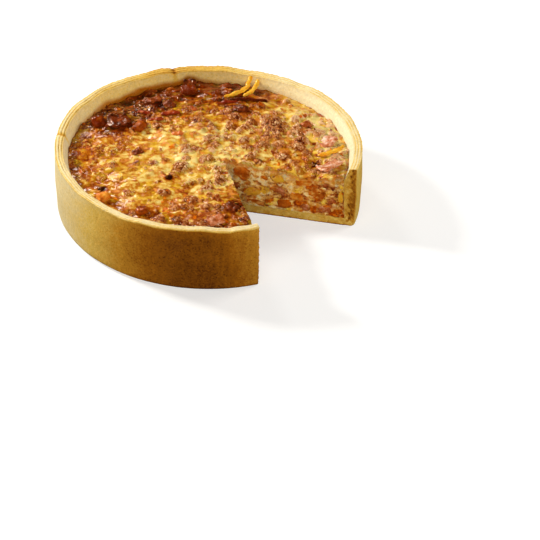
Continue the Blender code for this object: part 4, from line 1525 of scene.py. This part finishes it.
@dataclass
class PastryCase:
    """The shortcrust case: a base and a tall wall with a trimmed, layered rim."""

    plan: TartPlan
    noise: Noise
    top: BakedTop
    shell: Shell = field(default_factory=Shell)
    columns: int = 736
    wall_rows: int = 34
    rim_rows: int = 18
    rim_start: float = 0.8
    thickness_columns: int = 14
    base_columns: int = 110
    corner_rounding: float = 4.0 * MM
    inner_drop: float = 1.3 * MM
    layers: float = 3.0
    layer_depth: float = 0.75 * MM
    girth: float = 120.0
    thickness: float = 6.0
    wave_height: float = 0.7 * MM
    crumb_reach: float = 2.0 * MM
    apex_reach: float = 3.0 * MM
    palest_wall: float = 0.18
    crack_brown: float = 0.85
    crack_width: float = 0.65
    # The skin's unevenness: size in mm, octaves, height in mm
    skin_noise: tuple = ((46.0, 2, 0.45), (9.0, 2, 0.16), (2.6, 2, 0.07))
    rim_noise: tuple = ((2.4, 3, 0.3),)
    # Bells across the rim's thickness: the grooves, the worn outer edge and the inner edge
    groove_width: float = 0.14
    worn_edge: tuple = (0.0, 0.14)
    inner_edge: tuple = (1.0, 0.12)
    # Where one skin passes into the next, up the wall and through it
    rim_band: tuple = (0.965, 0.995)
    inner_band: tuple = (0.0, 0.75)
    crust_band: tuple = (0.0, 0.15)
    # The rim's rise and fall: waves in a whole turn, shift, strength
    waves: tuple = ((3.0, 0.5, 1.0), (7.0, 2.0, 0.6), (17.0, 0.0, 0.5), (29.0, 1.0, 0.35))
    # Where each skin has browned: bearing and width in degrees, browning. The wall's front lobe is partly
    # painted shade, and the foot's lobes are painted contact shade.
    wall_lobes: tuple = ((-96.0, 38.0, 0.76), (35.0, 75.0, 0.23), (112.0, 40.0, 0.25), (-8.0, 18.0, 0.14))
    streak_lobes: tuple = ((-80.0, 14.0, 0.06),)
    foot_shade_lobes: tuple = ((-80.0, 35.0, 0.08),)
    inner_lobes: tuple = ((125.0, 58.0, 0.32), (74.0, 24.0, 0.12))
    rim_lobes: tuple = ((100.0, 30.0, 0.31),)
    rim_inner_lobes: tuple = ((156.0, 42.0, 0.13),)
    # Where the painted light pales the wall most towards the rim: bearing and width in degrees
    lit_front: tuple = (-68.0, 22.0)
    # Where the juices climbed the wall: bearing and width in degrees, height in mm
    climbs: tuple = ((99.0, 4.0, 5.0), (122.0, 8.0, 3.0), (140.0, 5.0, 1.5), (78.0, 10.0, -1.5))
    # Where they stained it, and where the stain fades slowly: the same, with its strength
    stained: tuple = ((118.0, 41.0, 1.2), (190.0, 50.0, 0.1))
    slow_fade: tuple = ((125.0, 58.0, 4.2),)
    # Cracks and a pinch in the rim: bearing and width in degrees, depth in mm, browning
    dents: tuple = (
        (-83.0, 1.6, 0.9, 0.0),
        (105.0, 1.3, 1.0, 0.34),
        (174.0, 1.4, 1.1, 0.45),
        (128.0, 2.6, 0.6, 0.0),
        (42.0, 2.0, 0.5, 0.0),
    )

    def rows(self) -> Array:
        """How far up the wall each row is, from 0 to 1, closer together near the rim."""
        lower = np.linspace(0.0, self.rim_start, self.wall_rows, endpoint=False)
        return np.concatenate((lower, np.linspace(self.rim_start, 1.0, self.rim_rows + 1)))

    def outer_profile(self, rise: Array) -> tuple[Array, Array]:
        """The outer wall: a quarter circle at the foot, a belly and a lean inwards.

        Args:
            rise: Shares of the way walked up the profile.

        Returns:
            Radii and heights.
        """
        length = self.corner_rounding * math.pi / 2.0
        walked = rise * (length + self.plan.rim_height - self.corner_rounding)
        turn = np.clip(walked / length, 0.0, 1.0) * math.pi / 2.0
        foot = self.plan.belly_radius - self.corner_rounding * (1.0 - np.sin(turn))
        up = self.corner_rounding * (1.0 - np.cos(turn)) + np.clip(walked - length, 0.0, None)
        lean = ease(0.45, 1.05, up / self.plan.rim_height)
        return foot - (self.plan.belly_radius - self.plan.rim_outer_radius) * lean, up

    def inner_profile(self, rise: Array) -> tuple[Array, Array]:
        """Radius and height of the inner wall, up from the base to the rim."""
        base = self.plan.base_thickness
        height = base + rise * (self.plan.rim_height - self.inner_drop - base)
        return self.plan.inner_radius(height), height

    def rim_wave(self, turn: Array) -> Array:
        """The rise and fall of the rim, with its cracks and its pinch.

        Args:
            turn: Directions in radians.

        Returns:
            Heights in metres, about 0.
        """
        x, y = self.plan.place(turn, self.plan.reach(turn, self.plan.rim_outer_radius))
        bearing = np.degrees(np.arctan2(y, x))
        wave = np.zeros_like(turn)
        for count, shift, strength in self.waves:
            wave += self.wave_height * strength * np.sin(count * turn + shift)
        for direction, width, depth, _ in self.dents:
            wave -= depth * MM * lobe(bearing, direction, width)
        return wave

    def laid_out(self, turn: Array, thick: Array) -> Array:
        """The rim laid out flat, in millimetres along it and through it."""
        return points_at(turn * self.girth, thick * self.thickness)

    def off_groove(self, turn: Array, thick: Array) -> Array:
        """How far a place on the rim is from the nearest groove, in layers, -0.5 to 0.5."""
        wander = 0.3 * self.noise.smooth(self.laid_out(turn, thick), 26.0, 2)
        return (thick * self.layers + wander) % 1.0 - 0.5

    def solid(self, turn: Array, rise: Array, thick: Array) -> Array:
        """Places in the wall by direction, way up and way through, with all its relief.

        Outer and inner profile are blended by the way through. The rim is raised by its
        wave and grooved by concentric layers, and noise makes the skin uneven.

        Args:
            turn: Directions in radians.
            rise: The way up from 0 to 1.
            thick: The way through, 0 outside to 1 inside.

        Returns:
            Rows of x, y and z.
        """
        smooth = self.noise.smooth
        outer_radius, outer_height = self.outer_profile(rise)
        inner_radius, inner_height = self.inner_profile(rise)
        radius = outer_radius + (inner_radius - outer_radius) * thick
        height = outer_height + (inner_height - outer_height) * thick
        reach = self.plan.reach(turn, radius)
        raw = points_at(*self.plan.place(turn, reach), height) / MM
        height = height + ease(self.rim_start, 1.0, rise) * self.rim_wave(turn)
        top = ease(0.965, 1.0, rise)
        depth = 0.7 + 0.5 * smooth(self.laid_out(turn, thick) + 9.0, 14.0)
        groove = bell(self.off_groove(turn, thick), 0.0, self.groove_width)
        height -= top * self.layer_depth * groove * depth
        ragged = smooth(points_at(turn * self.girth, rise * 30.0, thick * 3.0), 2.2, 3)
        edge = ease(0.93, 1.0, rise) * bell(thick, *self.worn_edge)
        height += edge * (0.45 * ragged - 0.5) * MM
        height += top * (self.noise.blend(raw, self.rim_noise) - 0.35 * bell(thick, *self.inner_edge)) * MM
        skin = self.noise.blend(raw, self.skin_noise)
        reach += (ease(0.0, 0.12, rise) * skin + 0.35 * edge * ragged) * MM
        return points_at(*self.plan.place(turn, reach), height)

    def cut_crumb(self, points: Array) -> Array:
        """Roughens the pastry near both cuts: crumbs by noise along the cut's direction.

        Args:
            points: Rows of x, y and z.

        Returns:
            The moved points.
        """
        moved = points.copy()
        for turn, outward in self.plan.cuts():
            along, away = self.plan.beside_cut(points, turn)
            near = fall(0.0, self.crumb_reach, away) * ease(0.0, self.apex_reach, along)
            rough = 0.34 * self.noise.smooth(points / MM, 1.7, 3) - 0.25
            rough *= 1.0 + 1.6 * ease(98.0, 101.0, along / MM)
            moved += (near * rough * MM)[:, None] * outward
        return moved

    def wall_bake(self, at: WallPlaces) -> Array:
        """How brown the outer wall is: most at the front, partly as painted shade, and least towards the rim,
        where painted light also pales it upward; a painted pale band from the table lies low, and painted
        contact shade darkens the front's foot.

        Args:
            at: The places.

        Returns:
            The bake at each place.
        """
        bake = self.palest_wall + lobes(at.bearing, self.wall_lobes) + 0.04 * at.broad + 0.02 * at.medium
        streaks = self.noise.smooth(at.raw * (1.0, 1.0, 0.12), 3.0, 2)
        bake += streaks * lobes(at.bearing, self.streak_lobes)
        # Painted light: the wall pales as it rises, most at lit_front; the last pale step below the rim is
        # the pastry's own.
        pale = lobe(at.bearing, *self.lit_front)
        bake -= (0.035 + 0.06 * pale) * ease(0.1, 0.8, at.rise) + 0.05 * ease(0.8, 0.96, at.rise)
        # Painted light: a pale band low on the wall, as from the table, away from lit_front.
        bake -= 0.04 * (1.0 - pale) * bell(at.rise, 0.22, 0.13)
        # Painted contact shade: the front's foot darker, from foot_shade_lobes.
        return bake + lobes(at.bearing, self.foot_shade_lobes) * fall(0.0, 0.12, at.rise)

    def cracks(self, at: WallPlaces) -> Array:
        """How far the rim's cracks have browned: a narrow bell about each."""
        rows = ((centre, self.crack_width * width, burn) for centre, width, _, burn in self.dents)
        return self.crack_brown * lobes(at.bearing, rows)

    def inner_bake(self, at: WallPlaces) -> Array:
        """How brown the inner wall is: most at the back, and beside the cuts below the filling, which is
        painted contact shade.

        Args:
            at: The places.

        Returns:
            The bake at each place.
        """
        bake = 0.01 + 0.05 * at.broad + 0.05 * self.noise.smooth(at.raw * (0.2, 0.2, 1.4), 1.5, 2)
        bake += lobes(at.bearing, self.inner_lobes)
        # Painted contact shade where the filling meets the wall at the cuts.
        from_cut = np.minimum(at.turn - self.plan.right_cut, self.plan.left_cut + math.tau - at.turn)
        bake += 0.5 * fall(0.004, 0.02, from_cut) * fall(0.72, 0.84, at.rise)
        return bake + 0.6 * self.cracks(at) * ease(0.6, 0.95, at.rise)

    def rim_bake(self, at: WallPlaces) -> Array:
        """How brown the rim is: most at the back, in its grooves and at its outer edge.

        Args:
            at: The places.

        Returns:
            The bake at each place.
        """
        bake = 0.15 + 0.08 * at.broad + lobes(at.bearing, self.rim_lobes)
        bake += 0.03 * hill(at.raw[:, 0], at.raw[:, 1], 118.0, 30.0, 70.0)
        bake += lobes(at.bearing, self.rim_inner_lobes) * ease(0.25, 0.75, at.thick)
        groove = bell(self.off_groove(at.turn, at.thick), 0.0, 0.12)
        bake += 0.42 * groove * ease(-0.9, 0.4, self.noise.smooth(self.laid_out(at.turn, at.thick), 15.0))
        return bake + 0.20 * bell(at.thick, 0.0, 0.1) + self.cracks(at)

    def crumb_bake(self, at: WallPlaces) -> Array:
        """How brown the cut pastry is: brown crusts about a paler crumb with dark pores.

        Args:
            at: The places.

        Returns:
            The bake at each place.
        """
        through = at.thick + 0.34 * self.noise.smooth(at.raw, 5.0, 3)
        bake = 0.78 - 0.27 * ease(0.42, 0.66, through) * ease(0.0, 0.3, at.rise)
        bake += 0.28 * self.noise.smooth(at.raw + at.thick[:, None] * 9.0, 2.6, 3)
        bake += 0.45 * bell(through, 0.5, 0.07) * ease(-0.1, 0.4, at.medium)
        return bake - 0.3 * fall(0.02, 0.2, at.rise)

    def stains(self, at: WallPlaces) -> Array:
        """How far juices stained the inner wall: up from the filling, highest at the back.

        Args:
            at: The places.

        Returns:
            The stain at each place, from 0 to 1.
        """
        x, y, height = at.raw.T
        level = self.top.base(0.9 * x, 0.9 * y) + lobes(at.bearing, self.climbs)
        level += 1.2 * self.noise.smooth(self.laid_out(at.turn, at.thick), 12.0, 3)
        gone = 0.8 + lobes(at.bearing, self.slow_fade)
        stain = fall(-1.0, gone, height - level) * lobes(at.bearing, self.stained)
        return np.clip(stain, 0.0, 1.0) * ease(0.6, 0.98, at.thick)

    def values(self, turn: Array, rise: Array, thick: Array, cut: bool) -> dict[str, Array | float]:
        """How much the pastry has baked, with painted shade and light on its outer wall, and how far the
        filling has stained it.

        Args:
            turn: Directions in radians.
            rise: The way up from 0 to 1.
            thick: The way through, 0 outside to 1 inside.
            cut: Whether it is a cut face, where the crumb shows.

        Returns:
            The bake and stain values, each from 0 to 1.
        """
        radius, height = self.outer_profile(rise)
        x, y = self.plan.place(turn, self.plan.reach(turn, radius))
        raw = points_at(x, y, height) / MM
        broad = self.noise.smooth(raw + 13.0, 34.0, 2)
        medium = self.noise.smooth(raw + 71.0, 7.0, 2)
        at = WallPlaces(turn, rise, thick, raw, np.degrees(np.arctan2(y, x)), broad, medium)
        wall = self.wall_bake(at)
        bake = wall + (self.inner_bake(at) - wall) * ease(*self.inner_band, thick)
        bake += (self.rim_bake(at) - bake) * ease(*self.rim_band, rise)
        if cut:
            bake += (self.crumb_bake(at) - bake) * ease(*self.crust_band, thick)
        return {"bake": bake, "stain": 0.0 if cut else self.stains(at)}

    def add_grid(self, turn: Array, rise: Array, thick: Array, cut: bool = False) -> None:
        """Adds a grid of places in the wall.

        Args:
            turn: Directions in radians, in the grid's shape, as are the next two.
            rise: The way up from 0 to 1.
            thick: The way through, 0 outside to 1 inside.
            cut: Whether it is a cut face.
        """
        flat = [places.ravel() for places in (turn, rise, thick)]
        self.shell.add(self.cut_crumb(self.solid(*flat)), [quads(*turn.shape)], **self.values(*flat, cut))

    def add_loft(self) -> None:
        """Adds the outer wall, the inner wall and the rim, carried round between the cuts."""
        around = self.plan.turns(self.columns)
        turn, rise = np.meshgrid(around, self.rows())
        for thick in (0.0, 1.0):
            self.add_grid(turn, rise, np.full_like(turn, thick))
        turn, thick = np.meshgrid(around, self.through())
        self.add_grid(turn, np.ones_like(turn), thick)

    def through(self) -> Array:
        """The ways through of the columns across the wall's thickness."""
        return np.linspace(0.0, 1.0, self.thickness_columns + 1)

    def base_points(self, turn: float) -> Array:
        """The grid of the base's section, on straight lines from the apex to the wall's foot.

        Args:
            turn: The cut's direction.

        Returns:
            Places by the way through and the way out.
        """
        thick = self.through()
        share = np.linspace(0.0, 1.0, self.base_columns + 1)[None, :, None]
        ends = self.solid(np.full_like(thick, turn), np.zeros_like(thick), thick)
        apex = ends.copy()
        apex[:, :2] = self.plan.apex_x, self.plan.apex_y
        return apex[:, None, :] + (ends - apex)[:, None, :] * share

    def add_section(self) -> None:
        """Adds both cut faces of the case: the base's strip and the wall's."""
        rise, thick = np.meshgrid(self.rows(), self.through())
        faces = [quads(self.thickness_columns + 1, self.base_columns + 1)]
        for turn, _ in self.plan.cuts():
            self.add_grid(np.full_like(rise, turn), rise, thick, cut=True)
            points = self.base_points(turn).reshape(-1, 3)
            bake = 0.46 + 0.20 * self.noise.smooth(points / MM, 4.0, 3)
            # Darker along the strip's bottom: its browned underside and a painted contact shadow.
            bake += 0.42 * fall(0.0, 1.5 * MM, points[:, 2])
            self.shell.add(self.cut_crumb(points), faces, bake=bake, stain=0.0)

    def add_ends(self) -> None:
        """Adds the underside and the top of the base, one flat face each."""
        turn = self.plan.turns(self.columns)
        for thick, row in ((0.0, 0), (1.0, -1)):
            around = self.solid(turn, np.zeros_like(turn), np.full_like(turn, thick))
            right, left = (self.base_points(cut)[row] for cut, _ in self.plan.cuts())
            points, faces = outline(right, around, left)
            self.shell.add(self.cut_crumb(points), faces, bake=0.5, stain=0.0)

    def build(self, material: bpy.types.Material) -> bpy.types.Object:
        """Makes the case and lets it stand for the solid one.

        Args:
            material: The pastry's finish.

        Returns:
            The finished piece.
        """
        self.add_loft()
        self.add_section()
        self.add_ends()
        piece = self.shell.finish("shortcrust_case")
        piece.data.materials.append(material)
        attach(piece, "root")
        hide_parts("pastry_case")
        return piece


@dataclass
class Morsels:
    """The pieces in the filling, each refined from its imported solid."""

    plan: TartPlan
    noise: Noise
    effects: Effects
    levels: int = 2
    swell: float = 1.07
    unevenness: float = 0.85
    top_sear: float = 0.22
    edge_sear: float = 0.15
    shred_growth: float = 0.5
    lap: float = 0.85
    # Lumps in a piece's skin: size in mm, octaves, strength
    lumps: tuple = ((3.8, 2, 1.2), (1.3, 2, 0.4))
    # How much lighter than its kind a piece is
    tones: tuple = (
        ("butternut_top_1", -0.3),
        ("butternut_top_2", -0.05),
        ("butternut_top_3", -0.25),
        ("butternut_top_4", 0.45),
        ("butternut_top_5", -0.08),
        ("bacon_top_1", -0.14),
        ("bacon_top_5", -0.05),
        ("bacon_top_7", 0.2),
        # bacon_top_8 and bacon_top_9 are lighter partly for their pale fat and partly as a painted pink
        # sheen.
        ("bacon_top_8", 0.55),
        ("bacon_top_9", 0.56),
        ("bacon_top_10", 0.4),
        ("bacon_top_11", -0.02),
        ("bacon_strip_3", 0.15),
        ("bacon_strip_5", 0.45),
        ("bacon_strip_6", -0.2),
        ("bacon_right_2", 0.12),
        ("bacon_right_3", 0.12),
        ("bacon_right_4", 0.08),
        ("bacon_right_6", 0.06),
        ("butternut_right_3", 0.25),
        ("butternut_right_5", 0.2),
    )

    def finishes(self) -> dict[Kind, bpy.types.Material]:
        """Makes the materials.

        Returns:
            One material for each kind of piece.
        """
        squash = shades((0.0, 110, 34, 3), (0.3, 164, 74, 8), (0.6, 208, 106, 14), (1.0, 246, 168, 62))
        bacon = shades(
            (0.0, 64, 20, 4),
            (0.3, 118, 46, 13),
            (0.55, 170, 84, 34),
            (0.78, 208, 134, 94),
            (1.0, 238, 200, 174),
        )
        rind = shades((0.0, 98, 14, 4), (0.5, 148, 48, 16), (1.0, 214, 116, 48))
        cheddar = shades((0.0, 216, 140, 16), (1.0, 250, 200, 64))
        onion = shades((0.0, 34, 8, 3), (0.6, 96, 30, 8), (1.0, 160, 84, 24))
        # The size of the skin's wrinkles, its dryness, the coat, the subsurface and the relief
        rows = (
            (Kind.BUTTERNUT, "roast_squash", squash, 1.7 * MM, 0.35, 0.05, 0.15, 0.5),
            (Kind.STRIP, "bacon_rind", rind, 1.2 * MM, 0.25, 0.08, 0.1, 0.4),
            (Kind.BACON, "cooked_bacon", bacon, 1.3 * MM, 0.25, 0.08, 0.1, 0.6),
            (Kind.CHEDDAR, "melted_cheddar", cheddar, 1.6 * MM, 0.4, 0.2, 0.3, 0.3),
            (Kind.ONION, "roast_onion", onion, 1.0 * MM, 0.3, 0.05, 0.1, 0.4),
        )
        return {kind: MorselFinish(self.effects, *row).make() for kind, *row in rows}

    def smear(self, node: str, points: Array) -> Array:
        """How far custard laps over a piece, from 0 to 1: most low on its flanks.

        Args:
            node: The solid's name, which tells which way the piece faces.
            points: Rows of x, y and z.

        Returns:
            One value for each point.
        """
        smeared = np.zeros(len(points))
        for word, (_, outward) in zip(("_right_", "_left_"), self.plan.cuts()):
            if word in node:
                out = points @ outward
                sunk = (out.max() - out) / MM + 0.5 * self.noise.smooth(points / MM, 2.4, 2)
                smeared = self.lap * ease(0.65, 1.2, sunk)
        return smeared

    def rounded(self, node: str) -> bpy.types.Mesh:
        """A copy of a solid's mesh, merged and rounded by subdivision.

        Args:
            node: The solid's name.

        Returns:
            The new mesh.
        """
        shape = bmesh.new()
        shape.from_mesh(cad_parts[node].data)
        bmesh.ops.remove_doubles(shape, verts=shape.verts, dist=Shell.WELD)
        mesh = bpy.data.meshes.new(node)
        shape.to_mesh(mesh)
        shape.free()
        for layer in [*mesh.uv_layers]:
            mesh.uv_layers.remove(layer)
        mesh.materials.clear()
        coarse = link_object(node + "_coarse", mesh)
        rounding = coarse.modifiers.new("rounding", "SUBSURF")
        rounding.levels = self.levels
        rounding.render_levels = self.levels
        evaluated = coarse.evaluated_get(bpy.context.evaluated_depsgraph_get())
        fine = bpy.data.meshes.new_from_object(evaluated)
        bpy.data.objects.remove(coarse)
        fine.name = node
        return fine

    def refine(self, node: str) -> bpy.types.Object:
        """Makes a piece of a rounded solid: swollen a little, and made uneven by noise.

        Args:
            node: The solid's name.

        Returns:
            The new piece, which carries its smear and sear values.
        """
        mesh = self.rounded(node)
        points = fetch(mesh.vertices, "co", 3, float)
        normals = fetch(mesh.vertices, "normal", 3, float)
        middle = points.mean(axis=0)
        uneven = self.noise.blend(points / MM, self.lumps)
        points = middle + (points - middle) * self.swell
        fatter = self.shred_growth if "_shred_" in node or "_strand_" in node else 0.0
        points += normals * ((self.unevenness * uneven + fatter) * MM)[:, None]
        mesh.vertices.foreach_set("co", points.ravel())
        extent = np.abs(points - middle).max(axis=0)
        edge = ease(0.7, 1.3, np.linalg.norm((points - middle) / extent, axis=1))
        sear = (self.top_sear if "_top_" in node else 0.0) - dict(self.tones).get(node, 0.0)
        carry(mesh, "smear", self.smear(node, points))
        carry(mesh, "sear", sear + self.edge_sear * edge)
        mesh.update()
        return add_object(node.replace("_top_", "_on_top_") + "_cooked", mesh)

    def build(self) -> list[bpy.types.Object]:
        """Makes every piece and lets each stand for its solid.

        Returns:
            The finished pieces.
        """
        finishes = self.finishes()
        made = []
        for node in sorted(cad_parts):
            kind = next((entry for entry in Kind if node.startswith(entry.value)), None)
            if kind is None:
                continue
            piece = self.refine(node)
            piece.data.materials.append(finishes[kind])
            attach(piece, "root")
            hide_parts(node)
            made.append(piece)
        return made


@dataclass
class Studio:
    """The pale floor, the lights and the camera of the photograph's view."""

    distance: float = 1.08
    elevation: float = math.radians(35.01)
    focal_pixels: float = 1326.2
    frame_pixels: float = 540.0
    origin_pixel: tuple[float, float] = (209.03, 196.75)
    sensor: float = 36.0
    aim: tuple = (0.0, 0.0, 0.03)
    floor_side: float = 12.0
    floor_colour: Colour = (0.5, 0.5, 0.5)
    floor_roughness: float = 0.9
    floor_glow: float = 0.55
    white: Colour = (1.0, 1.0, 1.0)
    world_strength: float = 0.08
    glinting: tuple = ("key", "back")
    # Area lights: name, place, side in metres, power in watts, colour
    lights: tuple = (
        ("key", (-1.02, 0.52, 0.75), 0.22, 22.5, (1.0, 0.985, 0.93)),
        ("right", (1.1, 0.4, 0.5), 0.5, 10.0, (1.0, 0.97, 0.92)),
        ("back", (-0.4, 0.95, 0.8), 0.22, 3.5, (1.0, 0.98, 0.96)),
        ("fill", (-0.3, -1.3, 0.42), 1.0, 9.4, (1.0, 0.92, 0.8)),
        ("bounce", (0.3, -1.15, 0.7), 0.5, 5.0, (1.0, 0.94, 0.82)),
    )

    def add_camera(self) -> None:
        """Looks at the base's centre, then turns until it falls on its own pixel."""
        camera = bpy.data.cameras.new("camera")
        camera.sensor_width = self.sensor
        camera.lens = self.focal_pixels / self.frame_pixels * self.sensor
        holder = link_object("camera", camera)
        place = Vector((0.0, -math.cos(self.elevation), math.sin(self.elevation))) * self.distance
        level = Matrix.Rotation(math.pi / 2.0 - self.elevation, 4, "X")
        right = (self.origin_pixel[0] - self.frame_pixels / 2.0) / self.focal_pixels
        up = (self.frame_pixels / 2.0 - self.origin_pixel[1]) / self.focal_pixels
        ray = Vector((right, up, -1.0)).normalized()
        yaw = math.asin(ray.x)
        pitch = math.atan2(ray.y, -ray.z)
        turn = Matrix.Rotation(yaw, 4, "Y") @ Matrix.Rotation(-pitch, 4, "X")
        holder.matrix_world = Matrix.Translation(place) @ level @ turn
        bpy.context.scene.camera = holder

    def add_lights(self) -> None:
        """Adds the area lights, each aimed at the tart."""
        for name, place, size, power, colour in self.lights:
            light = bpy.data.lights.new(name, "AREA")
            light.size = size
            light.energy = power
            light.color = colour
            holder = link_object(name, light)
            aim = Vector(self.aim) - Vector(place)
            turn = aim.to_track_quat("-Z", "Y").to_matrix().to_4x4()
            holder.matrix_world = Matrix.Translation(place) @ turn
            holder.visible_glossy = name in self.glinting

    def add_floor(self) -> None:
        """A wide pale floor at the table's height."""
        half = self.floor_side / 2.0
        mesh = bpy.data.meshes.new("floor")
        corners = [(-half, -half, 0.0), (half, -half, 0.0), (half, half, 0.0), (-half, half, 0.0)]
        mesh.from_pydata(corners, [], [(0, 1, 2, 3)])
        floor = add_object("floor", mesh)
        made, nodes = Recipe.for_material("pale_floor")
        nodes.surface(
            Base_Color=self.floor_colour,
            Roughness=self.floor_roughness,
            Specular_IOR_Level=0.0,
            Emission_Color=self.white,
            Emission_Strength=self.floor_glow,
        )
        mesh.materials.append(made)
        floor.visible_diffuse = False
        floor.visible_glossy = False

    def add_world(self) -> None:
        """An even white surround."""
        world = bpy.data.worlds.new("surround")
        world.use_nodes = True
        background = world.node_tree.nodes["Background"]
        background.inputs["Color"].default_value = (*self.white, 1.0)
        background.inputs["Strength"].default_value = self.world_strength
        world.cycles_visibility.glossy = False
        bpy.context.scene.world = world

    def build(self) -> None:
        """Sets up the whole studio."""
        settings = bpy.context.scene.view_settings
        settings.view_transform = "Standard"
        settings.look = "None"
        self.add_camera()
        self.add_floor()
        self.add_world()
        self.add_lights()


def settled_places() -> list[tuple[float, float, float]]:
    """Where pieces lie in the top.

    Returns:
        The middle of each across and along, and about its radius, in millimetres.
    """
    places = []
    for node in sorted(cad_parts):
        if "_top_" not in node:
            continue
        low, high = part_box(node)
        middle = (low + high) / (2.0 * MM)
        radius = (high - low).xy.length / (4.0 * MM)
        places.append((middle.x, middle.y, radius))
    return places


def report(piece: bpy.types.Object) -> None:
    """Logs a piece with its count of faces."""
    LOG.info("%s: %d faces", piece.name, len(piece.data.polygons))


def main() -> None:
    """Builds the studio and the tart."""
    logging.basicConfig(level=logging.INFO, format="%(message)s")
    Studio().build()
    effects = Effects()
    plan = TartPlan()
    noise = Noise(7)
    top = BakedTop(noise, settled_places())
    report(PastryCase(plan, noise, top).build(PastryFinish(effects).make()))
    report(CustardFilling(plan, top, noise).build(CustardFinish(effects).make()))
    for piece in Morsels(plan, noise, effects).build():
        report(piece)


if __name__ == "__main__":
    main()
